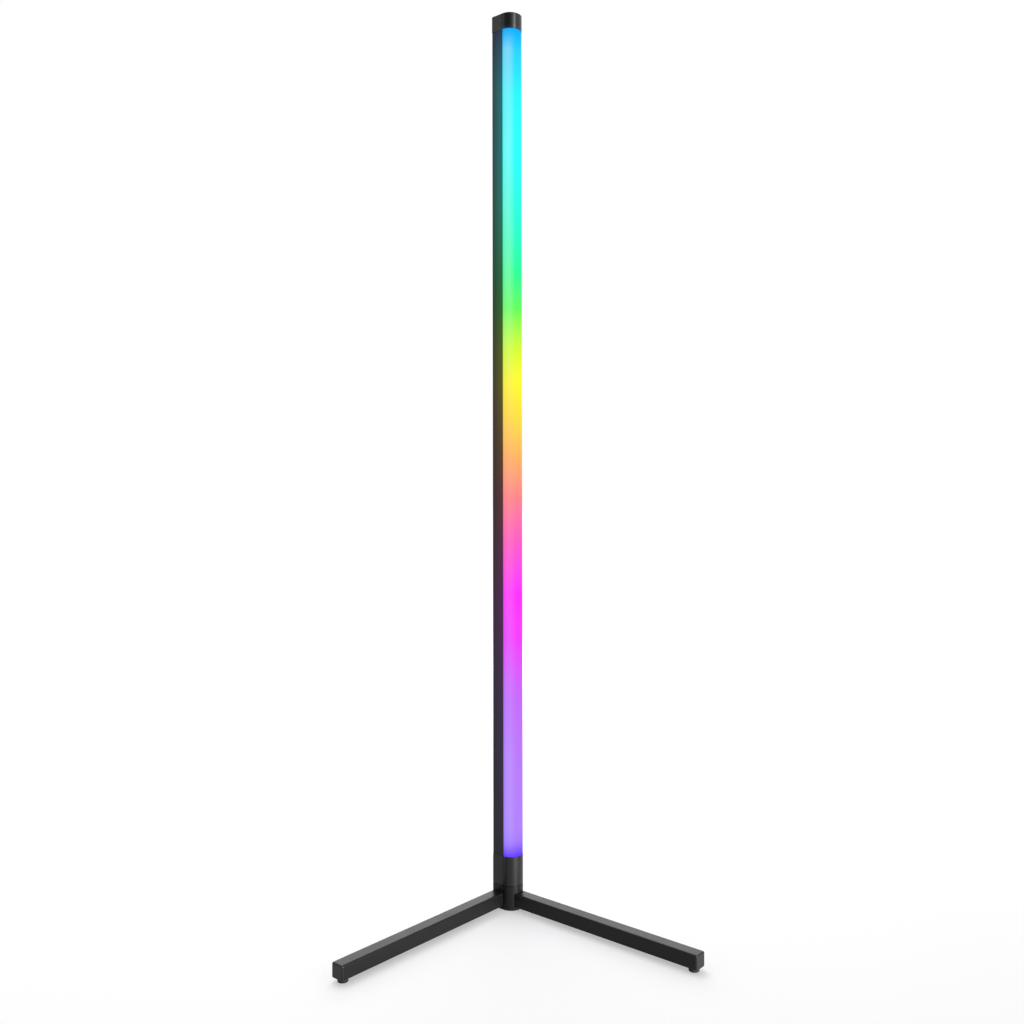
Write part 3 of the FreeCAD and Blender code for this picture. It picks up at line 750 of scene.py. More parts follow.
class Finishes:
    """Every finish of the lamp, made from the frame's sizes."""

    def __init__(self, column: "ColumnSizes") -> None:
        """Sets up the finishes, some of which follow the column's sizes."""
        program = LightProgram(column.shade_low, column.shade_high)
        # inputs of the painted glow on the cap and the extrusion
        painted_glow_inputs = {"program": program, "joint_x": column.round_x}
        row = {"first": column.first_light + column.light_size / 2, "pitch": column.light_pitch}
        self.moulding = Finish("black_moulding_satin", (0.0038, 0.0038, 0.0039), 0.35, 0.28)
        self.cap = CapFinish("black_moulding_cap", (0.0036, 0.0036, 0.0037), 0.28, 0.42, **painted_glow_inputs)
        self.coat = Finish("black_powder_coat", (0.0036, 0.0036, 0.0036), 0.37, 0.18, grain=650.0)
        self.extrusion = ExtrusionFinish(
            "black_anodised_lines", (0.0032, 0.0032, 0.0033), 0.42, 0.24, grain=3000.0,
            grain_depth=0.006 * MM, stretch=(1, 1, 0.004), flat_y=column.half_width, **painted_glow_inputs)
        self.opal = OpalFinish("opal_shade_lit", (0.5, 0.45, 0.95), 0.55, 0.03, grain_depth=0.005 * MM,
                               program=program, round_x=column.round_x)
        self.rubber = Finish("black_rubber_matt", (0.006, 0.006, 0.006), 0.75, 0.25, grain=1500.0)
        self.steel = Finish("zinc_plate", (0.6, 0.6, 0.62), 0.3, 0.5, 1.0, 0.1, 1200.0, 0.006 * MM)
        self.black_oxide = Finish("black_oxide", (0.05, 0.05, 0.055), 0.38, 0.5, 0.8, 0.2, 1500.0)
        self.bearing = Finish("bearing_plastic", (0.82, 0.82, 0.78), 0.35, 0.5, 0.0, 0.03)
        self.wire = Finish("wire_insulation", (0.55, 0.03, 0.03), 0.32, 0.5, 0.0, 0.1, 800.0)
        self.electronics = Finish("electronics_black", (0.04, 0.04, 0.042), 0.45, 0.45, 0.0, 0.2, 1600.0)
        self.board = BoardFinish("board_lacquer", (0.02, 0.16, 0.07), 0.25, 0.5)
        self.strip = StripFinish("strip_board", (0.86, 0.86, 0.84), 0.4, 0.5, mottle=0.03, **row)
        self.light = LightPackageFinish("light_package_body", (0.93, 0.92, 0.88), 0.25, 0.5, mottle=0.03,
                                        **row)


# ---------------- Geometry Nodes recipes
class Recipe:
    """A Geometry Nodes tree with named inputs, run on an object and turned into its plain mesh."""

    def __init__(self, name: str, inputs: dict[str, str]) -> None:
        """Makes the tree's interface.

        Args:
            name: the tree's name.
            inputs: the type of each input's socket, by the input's name.
        """
        self.tree = bpy.data.node_groups.new(name, "GeometryNodeTree")
        self.graph = Graph(self.tree)
        interface = self.tree.interface
        for label, kind in {"Geometry": "Geometry", **inputs, "Material": "Material"}.items():
            interface.new_socket(label, in_out="INPUT", socket_type=f"NodeSocket{kind}")
        interface.new_socket("Geometry", in_out="OUTPUT", socket_type="NodeSocketGeometry")
        entry = self.tree.nodes.new("NodeGroupInput")
        self.given = {s.name: Signal(self.graph, s) for s in entry.outputs if s.name}

    def close(self, shape: Signal) -> None:
        """Ends the tree: copies become real, and everything gets the finish."""
        real = self.graph.node("GeometryNodeRealizeInstances", {0: shape})
        wear = {"Geometry": real, "Material": self.given["Material"]}
        self.graph.node("NodeGroupOutput", {0: self.graph.node("GeometryNodeSetMaterial", wear)})

    def run(self, made: Object, finish: Finish, **values: object) -> None:
        """Runs the tree on an object.

        Args:
            made: the object whose mesh goes in.
            finish: the finish of what comes out.
            values: value of each named input, with _ for a blank.
        """
        modifier = made.modifiers.new(self.tree.name, "NODES")
        modifier.node_group = self.tree
        wanted = {label.replace("_", " "): value for label, value in values.items()}
        wanted["Material"] = finish.material()
        for item in self.tree.interface.items_tree:
            if item.in_out == "INPUT" and item.name in wanted:
                modifier[item.identifier] = wanted[item.name]
        settle(made)

    def raised(self, height: Signal) -> Signal:
        """A vector that points straight up."""
        return self.graph.node("ShaderNodeCombineXYZ", {"Z": height})

    def pulled(self, curves: Signal, low: Signal, high: Signal) -> Signal:
        """A closed upright bar over a filled section.

        Args:
            curves: closed curves of the section, in the XY plane.
            low: height of the lower end.
            high: height of the upper end.

        Returns:
            The bar's mesh.
        """
        node = self.graph.node
        face = node("GeometryNodeFillCurve", {0: curves}, mode="NGONS")
        floor = node("GeometryNodeTransform", {"Geometry": face, "Translation": self.raised(low)})
        pull = {"Mesh": floor, "Offset": self.raised(high - low), "Offset Scale": 1.0, "Individual": False}
        tall = node("GeometryNodeExtrudeMesh", pull, mode="FACES")
        under = node("GeometryNodeFlipFaces", {0: floor})
        both = node("GeometryNodeJoinGeometry", {0: [tall, under]})
        return node("GeometryNodeMergeByDistance", {"Geometry": both, "Distance": WELD})

    def copied(self, places: Signal) -> Signal:
        """A copy of the input named Part on every point of a mesh."""
        node, part = self.graph.node, self.given["Part"]
        one = node("GeometryNodeObjectInfo", {"Object": part, "As Instance": True}, "Geometry")
        points = node("GeometryNodeMeshToPoints", {"Mesh": places})
        return node("GeometryNodeInstanceOnPoints", {"Points": points, "Instance": one})


class SectionRecipe(Recipe):
    """Fills a closed section and pulls it straight up, as an extrusion press does."""

    def __init__(self) -> None:
        """Writes the tree."""
        super().__init__("upright_extrusion", {"Low": "Float", "High": "Float"})
        curves = self.graph.node("GeometryNodeMeshToCurve", {0: self.given["Geometry"]})
        self.close(self.pulled(curves, self.given["Low"], self.given["High"]))


class TubeRecipe(Recipe):
    """Square tube with rounded edges, laid along the X axis."""

    corner_steps = 6

    def __init__(self) -> None:
        """Writes the tree."""
        sizes = ("Width", "Wall", "Edge Radius", "Bore Radius", "Middle Height", "Start", "End")
        super().__init__("square_tube", {size: "Float" for size in sizes})
        node, given = self.graph.node, self.given
        bore = given["Width"] - given["Wall"] * 2
        curves = [self.square(given["Width"], given["Edge Radius"]), self.square(bore, given["Bore Radius"])]
        bar = self.pulled(node("GeometryNodeJoinGeometry", {0: curves}), given["Start"], given["End"])
        lift = self.raised(given["Middle Height"])
        lay = {"Geometry": bar, "Rotation": (0, math.pi / 2, 0), "Translation": lift}
        self.close(node("GeometryNodeTransform", lay))

    def square(self, width: Signal, radius: Signal) -> Signal:
        """A rounded square curve."""
        plain = self.graph.node("GeometryNodeCurvePrimitiveQuadrilateral", {"Width": width, "Height": width})
        rounding_of = {"Curve": plain, "Count": self.corner_steps, "Radius": radius, "Limit Radius": True}
        return self.graph.node("GeometryNodeFilletCurve", rounding_of, mode="POLY")


class CopiesRecipe(Recipe):
    """Sets a copy of one part on every point."""

    def __init__(self) -> None:
        """Writes the tree."""
        super().__init__("copies_on_points", {"Part": "Object"})
        self.close(self.copied(self.given["Geometry"]))


class RowRecipe(Recipe):
    """Sets copies of one part in an upright row."""

    def __init__(self) -> None:
        """Writes the tree."""
        inputs = {"Part": "Object", "Count": "Int", "Start": "Vector", "Pitch": "Float"}
        super().__init__("upright_row", inputs)
        given = self.given
        places = {"Count": given["Count"], "Start Location": given["Start"],
                  "Offset": self.raised(given["Pitch"])}
        self.close(self.copied(self.graph.node("GeometryNodeMeshLine", places, mode="OFFSET")))


# ---------------- sizes read from the frame
def lamp_corners(node: str) -> tuple[Vector, Vector]:
    """The lowest and the highest corner of a CAD node's box, in the lamp's own axes."""
    unturn = Matrix.Rotation(-TURN, 3, "Z")
    points = [unturn @ v.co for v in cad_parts[node].data.vertices]
    return tuple(Vector(pick(p[axis] for p in points) for axis in range(3)) for pick in (min, max))


@dataclass(frozen=True)
class ColumnSizes:
    """Sizes of the column, read from the frame in the lamp's own axes."""

    half_width: float
    back: float
    round_x: float
    channel_low: float
    channel_high: float
    shade_low: float
    shade_high: float
    shade_lip_x: float
    top: float
    proud: float
    housing_low: float
    strip_x: float
    first_light: float
    last_light: float
    light_face: float
    light_size: float
    light_pitch: float = 16.7 * MM
    screw_inset: float = 4.1 * MM

    @classmethod
    def read(cls) -> "ColumnSizes":
        """Measures the frame."""
        channel, shade = lamp_corners("column_channel"), lamp_corners("diffuser")
        cap, lights = lamp_corners("top_cap"), lamp_corners("led_chips")
        return cls(
            half_width=channel[1].y, back=channel[0].x, round_x=channel[1].x,
            channel_low=channel[0].z, channel_high=channel[1].z,
            shade_low=shade[0].z, shade_high=shade[1].z, shade_lip_x=shade[0].x,
            top=cap[1].z, proud=cap[1].y - channel[1].y, housing_low=lamp_corners("lower_housing")[0].z,
            strip_x=lamp_corners("led_strip")[1].x, first_light=lights[0].z, last_light=lights[1].z,
            light_face=lights[1].x, light_size=lights[1].y - lights[0].y)

    def outline(self) -> DSection:
        """The column's D outline."""
        return DSection(self.half_width, self.back, self.round_x)

    def screw_places(self, height: float) -> list[Vector]:
        """Where the column's two long axes of screws are, at a height."""
        x, y = self.back + self.screw_inset, self.half_width - self.screw_inset
        return [Vector((x, side * y, height)) for side in (-1, 1)]


@dataclass(frozen=True)
class LegSizes:
    """Sizes of a leg, read from the frame, with the crossing of the legs' axes at (axis_x, 0)."""

    axis_x: float
    width: float
    bottom: float
    reach: float
    right_start: float
    left_start: float
    plug_start: float
    foot_along: float
    foot_radius: float
    foot_recess: float = 2.8 * MM

    @classmethod
    def read(cls) -> "LegSizes":
        """Measures the frame."""
        right, left = lamp_corners("right_leg"), lamp_corners("left_leg")
        plug, foot = lamp_corners("right_end_plug"), lamp_corners("right_foot")
        axis_x = (left[0].x + left[1].x) / 2
        return cls(
            axis_x=axis_x, width=left[1].x - left[0].x, bottom=left[0].z,
            reach=plug[1].x - axis_x, right_start=right[0].x - axis_x, left_start=-left[1].y,
            plug_start=right[1].x - axis_x, foot_along=(foot[0].x + foot[1].x) / 2 - axis_x,
            foot_radius=(foot[1].x - foot[0].x) / 2)

    @property
    def middle(self) -> float:
        """Height of the legs' axes."""
        return self.bottom + self.width / 2


@dataclass(frozen=True)
class LegSide:
    """One of the two legs: its name, its turn from the +X axis and where its tube starts."""

    name: str
    turn: float
    start: float


# ---------------- placing pieces
class Workshop:
    """The frame's sizes, the finishes and the recipes, and the bench where pieces are finished."""

    def __init__(self) -> None:
        """Reads the frame and writes the recipes."""
        self.column, self.legs = ColumnSizes.read(), LegSizes.read()
        self.looks = Finishes(self.column)
        self.sections, self.tubes = SectionRecipe(), TubeRecipe()
        self.copies, self.rows = CopiesRecipe(), RowRecipe()
        self.sides = (LegSide("left", math.radians(-90), self.legs.left_start),
                      LegSide("right", 0.0, self.legs.right_start))

    def place(self, made: Object, finish: Finish, body: Body, slot: Slot, node: str) -> None:
        """Finishes a piece and joins it to its body, where it stands for a CAD node.

        Args:
            made: the piece, in the lamp's own axes.
            finish: its finish.
            body: the body that it rides on.
            slot: the record's slot for its finish; not used.
            node: the CAD node.
        """
        made.data.transform(Matrix.Rotation(TURN, 4, "Z"))
        made.data.materials.clear()
        made.data.materials.append(finish.material())
        for face in made.data.polygons:
            face.material_index = 0
        soften(made)
        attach(made, body.value)
        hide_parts(node)
        log.info("%s: %d faces, stands for %s", made.name, len(made.data.polygons), node)

    def dress(self, nodes: Sequence[str], finish: Finish) -> None:
        """Gives carried-over CAD nodes a finish.

        Args:
            nodes: the nodes' names.
            finish: their finish.
        """
        for node in nodes:
            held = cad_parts[node]
            held.data.materials.clear()
            held.data.materials.append(finish.material())
            log.info("%s: kept from the frame, %s", node, finish.name)


# ---------------- column
@dataclass
class ColumnShells:
    """The black extrusion and the opal shade that snaps into it."""

    shop: Workshop
    wall: float = 1.3 * MM
    web_front: float = 5.65 * MM
    port_radius: float = 3.2 * MM
    port_bite: float = 0.4 * MM
    port_bore: float = 1.65 * MM
    edge_break: float = 0.2 * MM
    shade_wall: float = 1.5 * MM
    joint: float = 0.5 * MM
    lip: float = 1.2 * MM
    lip_clearance: float = 0.1 * MM
    shoulder: float = 1.5 * MM
    corner_steps: int = 8
    duct_steps: int = 16
    bore_steps: int = 24
    hollow_steps: int = 72
    front_steps: int = 96

    def channel_outline(self) -> Ring:
        """The channel's outer boundary, open towards the shade."""
        s, cut = self.shop.column, self.edge_break
        inner, corner = s.half_width - self.wall, s.outline().corner
        upper = [Vector((s.round_x - self.web_front, inner, 0)), Vector((s.round_x, inner, 0)),
                 Vector((s.round_x, s.half_width - cut, 0)), Vector((s.round_x - cut, s.half_width, 0))]
        bend = arc((s.back + corner, s.half_width - corner), corner, 90, 180, self.corner_steps)
        return mirrored(upper + bend)

    def port(self) -> tuple[float, float]:
        """The axis of the upper screw port."""
        inset = self.wall + self.port_radius - self.port_bite
        return self.shop.column.back + inset, self.shop.column.half_width - inset

    def duct_outline(self) -> Ring:
        """The closed duct behind the web, with a screw port standing in both rear corners."""
        s = self.shop.column
        lean = math.degrees(math.acos((self.port_radius - self.port_bite) / self.port_radius))
        start = Vector((s.round_x - self.web_front - self.wall, s.half_width - self.wall, 0))
        port = arc(self.port(), self.port_radius, 90 - lean, -180 + lean, self.duct_steps)
        return mirrored([start] + port)

    def port_outlines(self) -> list[Ring]:
        """The screw ports' bores."""
        (x, y), count = self.port(), self.bore_steps
        return [arc((x, side * y), self.port_bore, 0, 360 - 360 / count, count - 1) for side in (-1, 1)]

    def shade_outline(self) -> Ring:
        """The half round shade with a shoulder and a lip along each edge."""
        s = self.shop.column
        inner_radius, start = s.half_width - self.shade_wall, s.round_x + self.joint
        lip_out = s.half_width - self.wall - self.lip_clearance
        lip_in = lip_out - self.lip
        outer = math.degrees(math.acos((start + self.edge_break - s.round_x) / s.half_width))
        inner = math.degrees(math.acos((self.joint + self.shoulder) / inner_radius))
        upper = [Vector((start, s.half_width - self.edge_break, 0)), Vector((start, lip_out, 0)),
                 Vector((s.shade_lip_x, lip_out, 0)), Vector((s.shade_lip_x, lip_in, 0)),
                 Vector((start + self.shoulder, lip_in, 0))]
        lower = mirrored(upper)[len(upper):]
        hollow = arc((s.round_x, 0), inner_radius, inner, -inner, self.hollow_steps)
        front = arc((s.round_x, 0), s.half_width, -outer, outer, self.front_steps)
        return upper + hollow + lower + front

    def build(self) -> None:
        """Makes and places both."""
        s, shop, looks = self.shop.column, self.shop, self.shop.looks
        section = [self.channel_outline(), self.duct_outline(), *self.port_outlines()]
        channel = raw_object("channel_extrusion", edge_loops(section))
        shop.sections.run(channel, looks.extrusion, Low=s.channel_low, High=s.channel_high)
        shop.place(channel, looks.extrusion, Body.COLUMN, Slot.BLACK_ANODISED, "column_channel")
        shade = raw_object("shade_shell", edge_loops([self.shade_outline()]))
        shop.sections.run(shade, looks.opal, Low=s.shade_low, High=s.shade_high)
        shop.place(shade, looks.opal, Body.COLUMN, Slot.OPAL_SHADE, "diffuser")


@dataclass
class Screw:
    """A socket screw: shank radius, head radius, head height, key size and shank length.

    The socket's depth and the rounding of a round head are shares of the head's height.
    """

    shank: float
    head: float
    height: float
    key: float
    grip: float
    tip: float = 0.4 * MM
    socket_depth: float = 0.6
    dome_share: float = 0.4
    dome_steps: int = 4

    def socket(self, face: float) -> list[Ring]:
        """The hexagon socket below the head's face."""
        depth = self.height * self.socket_depth
        return [hexagon(self.key, face + depth), hexagon(self.key, face + self.tip / 4),
                hexagon(self.key + self.tip / 2, face)]

    def end(self) -> list[Ring]:
        """The shank's bevelled end."""
        return [circle(self.shank, self.grip - self.tip), circle(self.shank - self.tip, self.grip)]

    def pan(self) -> Mesh:
        """A round-headed screw pointing up, with its head below the origin."""
        dome = [circle(self.head - depth, inset - self.height)
                for inset, depth in rounding(self.height * self.dome_share, self.dome_steps)]
        return lofted([*self.socket(-self.height), *dome, circle(self.head, 0), circle(self.shank, 0),
                       *self.end()])

    def countersunk(self) -> Mesh:
        """A flat-headed screw pointing up, with its face at the origin."""
        head = [circle(self.head - self.tip / 4, 0), circle(self.head, self.tip / 4)]
        return lofted([*self.socket(0.0), *head, circle(self.shank, self.height), *self.end()])

    def countersink(self, clearance: float) -> Mesh:
        """The hole that a flat-headed screw drops into."""
        wide, bore = self.head + clearance, self.shank + clearance
        return spun([(wide + clearance, -clearance), (wide, 0), (bore, self.height), (bore, self.grip)])


@dataclass
class TopCap:
    """Hollow cap with a bevelled top edge, and its two screws."""

    shop: Workshop
    screw: Screw
    wall: float = 2.5 * MM
    roof: float = 3.0 * MM
    bevel: float = 1.0 * MM
    soft: float = 0.15 * MM
    notch: float = 1.1 * MM
    clearance: float = 0.25 * MM

    def rings(self) -> list[Ring]:
        """The shell, from its inner roof down, round the lower edge and up to the top."""
        s, soft, notch = self.shop.column, self.soft, self.notch
        inside, low, high = s.proud - self.wall, s.channel_high, s.top
        steps = ((inside, high - self.roof, 0.0), (inside, low, 0.0), (s.proud - soft, low, notch),
                 (s.proud, low + soft, notch), (s.proud, high - self.bevel - soft, notch),
                 (s.proud - soft / 3, high - self.bevel, notch),
                 (s.proud - self.bevel + soft / 3, high - soft / 2, notch / 2),
                 (s.proud - self.bevel - soft, high, notch / 2))
        return [s.outline().ring(*step) for step in steps]

    def build(self) -> None:
        """Makes and places the cap and its screws."""
        shop, looks = self.shop, self.shop.looks
        places = shop.column.screw_places(shop.column.top)
        cap = raw_object("cap_shell", lofted(self.rings()))
        carve(cap, [shifted(turned(self.screw.countersink(self.clearance), 180, "X"), p) for p in places])
        shop.place(cap, looks.cap, Body.COLUMN, Slot.BLACK_MOULDING, "top_cap")
        part = raw_object("cap_screw_part", turned(self.screw.countersunk(), 180, "X"))
        screws = raw_object("cap_screws", loose_points(places))
        shop.copies.run(screws, looks.black_oxide, Part=part)
        discard(part)
        shop.place(screws, looks.black_oxide, Body.COLUMN, Slot.BLACK_SCREW, "top_cap_screws")


@dataclass
class LowerHousing:
    """Box under the column: floor with the bush bore and the stop track, and the power socket behind."""

    shop: Workshop
    wall: float = 2.5 * MM
    floor: float = 6.0 * MM
    soft: float = 0.3 * MM
    notch: float = 1.1 * MM
    bore: float = 6.05 * MM
    track_in: float = 10.2 * MM
    track_out: float = 13.8 * MM
    track_depth: float = 3.0 * MM
    track_lug: float = 3.0 * MM
    head_recess: float = 3.35 * MM
    head_depth: float = 2.9 * MM
    inlet_radius: float = 4.05 * MM

    def rings(self) -> list[Ring]:
        """The shell, from its floor's upper face, up, over the rim and down to the underside."""
        s, d, edge = self.shop.column, self.shop.column.outline(), self.soft / 2
        inside, low, high = s.proud - self.wall, s.housing_low, s.channel_low
        rings = [d.ring(inside, low + self.floor), d.ring(inside, high),
                 d.ring(s.proud - edge, high, self.notch), d.ring(s.proud, high - edge, self.notch)]
        return rings + d.rim(s.proud, low, -1, self.soft, self.notch)

    def cutters(self, inlet_z: float) -> list[Mesh]:
        """The cuts in the housing.

        Args:
            inlet_z: height of the power socket's axis.

        Returns:
            The stop track, the bush bore, the screw recesses and the socket's hole.
        """
        s = self.shop.column
        low, under, inner, outer = s.housing_low, s.housing_low - MM, self.track_in, self.track_out
        top, half = low + self.track_depth, self.track_lug / 2
        track = [(inner, under), (outer, under), (outer, top), (inner, top)]
        groove = raw_object("groove", spun(track, closed_ends=False))
        carve(groove, [block((0, -half, under - MM), (outer + MM, half, low + self.floor))])
        cut = bmesh.new()
        cut.from_mesh(groove.data)
        discard(groove)
        tools = [cut, spun([(self.bore, under), (self.bore, low + self.floor + MM)])]
        for place in s.screw_places(0):
            recess = spun([(self.head_recess, z) for z in (under, low + self.head_depth)])
            tools.append(shifted(recess, place))
        hole = turned(spun([(self.inlet_radius, z) for z in (-MM, self.wall + 2 * MM)]), 90, "Y")
        return tools + [shifted(hole, (s.back - s.proud, 0, inlet_z))]

    def build(self) -> None:
        """Makes and places the housing and the socket."""
        shop, moulding = self.shop, self.shop.looks.moulding
        low, high = lamp_corners("dc_inlet")
        inlet = PowerInlet(low.x, high.x, (low.z + high.z) / 2)
        housing = raw_object("housing_shell", lofted(self.rings()))
        carve(housing, self.cutters(inlet.height))
        shop.place(housing, moulding, Body.COLUMN, Slot.BLACK_MOULDING, "lower_housing")
        socket = raw_object("power_socket", inlet.mesh())
        shop.place(socket, moulding, Body.COLUMN, Slot.BLACK_MOULDING, "dc_inlet")


@dataclass
class PowerInlet:
    """Round low-voltage socket, drawn along the X axis from its outer face at start."""

    start: float
    end: float
    height: float
    flange: float = 1.5 * MM
    flange_radius: float = 5.5 * MM
    body_radius: float = 4.0 * MM
    bore_radius: float = 2.85 * MM
    bore_depth: float = 9.5 * MM
    pin_radius: float = 1.0 * MM
    pin_recess: float = 1.0 * MM

    def mesh(self) -> Mesh:
        """The socket as one turned form: pin, bore, flange and body."""
        soft, reach = self.flange / 3, self.end - self.start
        profile = [(self.pin_radius - soft / 2, self.pin_recess),
                   (self.pin_radius, self.pin_recess + soft / 2), (self.pin_radius, self.bore_depth),
                   (self.bore_radius, self.bore_depth), (self.bore_radius, soft / 2),
                   (self.bore_radius + soft / 2, 0),
                   (self.flange_radius - soft, 0),
                   (self.flange_radius - soft * MIDDLE_SHARE, soft * MIDDLE_SHARE),
                   (self.flange_radius, soft), (self.flange_radius, self.flange),
                   (self.body_radius, self.flange), (self.body_radius, reach - soft),
                   (self.body_radius - soft, reach)]
        return shifted(turned(spun(profile), 90, "Y"), (self.start, 0, self.height))


@dataclass
class LightRow:
    """The light packages on the strip behind the shade."""

    shop: Workshop
    window: float = 2.05 * MM
    window_depth: float = 0.15 * MM
    soft: float = 0.2 * MM
    corner_steps: int = 3

    def package(self) -> Mesh:
        """One package with its round window, standing on x = 0 and facing +X."""
        s, soft, steps = self.shop.column, self.soft, self.corner_steps
        width, height = s.light_size, s.light_face - s.strip_x
        rings = [rounded_square(width, soft, 0, steps), rounded_square(width, soft, height - soft, steps),
                 rounded_square(width - 2 * soft, soft, height, steps)]
        count = len(rings[0])
        for radius, depth in ((self.window, 0.0), (self.window - soft, self.window_depth)):
            flat = [Vector((height - depth, p.x, p.y)) for p in circle(radius, 0, count)]
            first = min(range(count), key=lambda i: (flat[i] - rings[0][0]).length)
            rings.append(flat[first:] + flat[:first])
        return lofted(rings)

    def build(self) -> None:
        """Makes and places the row."""
        s, light = self.shop.column, self.shop.looks.light
        run = s.last_light - s.first_light - s.light_size
        part = raw_object("light_part", self.package())
        row = raw_object("light_row", loose_points([]))
        self.shop.rows.run(row, light, Part=part, Count=round(run / s.light_pitch) + 1, Pitch=s.light_pitch,
                           Start=(s.strip_x, 0.0, s.first_light + s.light_size / 2))
        discard(part)
        self.shop.place(row, light, Body.COLUMN, Slot.LIGHT_PACKAGE, "led_chips")


# ---------------- base
@dataclass
class Hub:
    """D-shaped casting with a pocket for the right leg, and the rubber pad under it."""

    shop: Workshop
    soft: float = 0.3 * MM
    notch: float = 1.1 * MM
    plate_rim: float = 1.5 * MM
    plate_depth: float = 2.0 * MM
    seat_clearance: float = 0.1 * MM
    washer_recess: float = 1.0 * MM
    washer_radius: float = 9.1 * MM
    pin_circle: float = 12.0 * MM
    pin_radius: float = 1.55 * MM
    pin_depth: float = 8.0 * MM
    pad_inset: float = 1.0 * MM
    pad_soft: float = 0.35 * MM

    def cutters(self, top: float) -> list[Mesh]:
        """The right leg's pocket, the washer's recess and the stop pin's hole, in a hub that ends at top."""
        legs, half = self.shop.legs, self.shop.legs.width / 2 + self.seat_clearance
        pocket = block((legs.right_start + legs.axis_x, -half, legs.middle - half),
                       (self.shop.column.half_width * 2, half, legs.middle + half))
        recess = spun([(self.washer_radius, z) for z in (top - self.washer_recess, top + MM)])
        hole = spun([(self.pin_radius, z) for z in (top - self.pin_depth, top + MM)])
        return [pocket, recess, shifted(hole, (-self.pin_circle, 0, 0))]

    def build(self) -> None:
        """Makes and places the casting and its pad."""
        shop, d, proud = self.shop, self.shop.column.outline(), self.shop.column.proud
        low, high = (corner.z for corner in lamp_corners("hub"))
        rings = [d.ring(proud - self.plate_rim, low + self.plate_depth), d.ring(proud - self.plate_rim, low),
                 d.ring(proud - self.soft / 2, low, self.notch),
                 d.ring(proud, low + self.soft / 2, self.notch)]
        rings += d.rim(proud, high, 1, self.soft, self.notch)
        casting = raw_object("hub_casting", lofted(rings))
        carve(casting, self.cutters(high))
        shop.place(casting, shop.looks.coat, Body.BASE, Slot.BLACK_COAT, "hub")
        inset, soft = proud - self.pad_inset, self.pad_soft
        steps = ((inset - soft, 0), (inset - soft * MIDDLE_SHARE, soft * MIDDLE_SHARE), (inset, soft),
                 (inset, low))
        pad = raw_object("hub_rubber_pad", lofted([d.ring(*step) for step in steps]))
        shop.place(pad, shop.looks.rubber, Body.BASE, Slot.BLACK_RUBBER, "hub_pad")


@dataclass
class Leg:
    """A square tube with its end plug and rubber foot."""

    shop: Workshop
    side: LegSide
    wall: float = 2.0 * MM
    edge_radius: float = 2.5 * MM
    bore_radius: float = 0.5 * MM
    plug_soft: float = 1.8 * MM
    plug_tongue: float = 18.0 * MM
    plug_clearance: float = 0.1 * MM
    seam: float = 0.15 * MM
    foot_soft: float = 1.2 * MM
    recess_radius: float = 3.75 * MM
    hole_radius: float = 2.2 * MM
    round_steps: int = 5

    def plug_mesh(self) -> Mesh:
        """The plug from its tongue's end to its rounded outer face."""
        legs, seam, edge = self.shop.legs, self.seam, self.edge_radius
        width, start = legs.width, legs.plug_start
        bore = width - 2 * self.wall - 2 * self.plug_clearance
        steps = [(bore, self.bore_radius, start - self.plug_tongue), (bore, self.bore_radius, start),
                 (width - 2 * seam, edge - seam, start), (width, edge, start + seam)]
        steps += [(width - 2 * inset, edge - inset, legs.reach - depth)
                  for inset, depth in rounding(self.plug_soft, self.round_steps)]
        return shifted(lofted([rounded_square(*step) for step in steps]), (0, 0, legs.middle))

    def foot_mesh(self) -> Mesh:
        """The rubber foot with its screw recess, as one turned form."""
        legs, soft = self.shop.legs, self.foot_soft
        top, radius = legs.bottom, legs.foot_radius
        profile = [(radius - soft / 4, top), (radius, top - soft / 4)]
        profile += [(radius - inset, depth) for inset, depth in rounding(soft, self.round_steps)]
        profile += [(self.recess_radius + soft / 6, 0), (self.recess_radius, soft / 6),
                    (self.recess_radius, legs.foot_recess), (self.hole_radius, legs.foot_recess),
                    (self.hole_radius, top)]
        return shifted(spun(profile, closed_ends=False), (legs.foot_along, 0, 0))

    def build(self) -> None:
        """Makes and places the tube, the plug and the foot, each turned from the X axis to the leg's way."""
        shop, legs, looks, name = self.shop, self.shop.legs, self.shop.looks, self.side.name
        tube = raw_object(f"{name}_leg_tube", loose_points([]))
        shop.tubes.run(tube, looks.coat, Width=legs.width, Wall=self.wall, Edge_Radius=self.edge_radius,
                       Bore_Radius=self.bore_radius, Middle_Height=legs.middle,
                       Start=self.side.start, End=legs.plug_start)
        plug = raw_object(f"{name}_leg_plug", self.plug_mesh())
        foot = raw_object(f"{name}_rubber_foot", self.foot_mesh())
        move = Matrix.Translation((legs.axis_x, 0, 0)) @ Matrix.Rotation(self.side.turn, 4, "Z")
        for made, finish, slot, node in ((tube, looks.coat, Slot.BLACK_COAT, "leg"),
                                         (plug, looks.moulding, Slot.BLACK_MOULDING, "end_plug"),
                                         (foot, looks.rubber, Slot.BLACK_RUBBER, "foot")):
            made.data.transform(move)
            shop.place(made, finish, Body.BASE, slot, f"{name}_{node}")


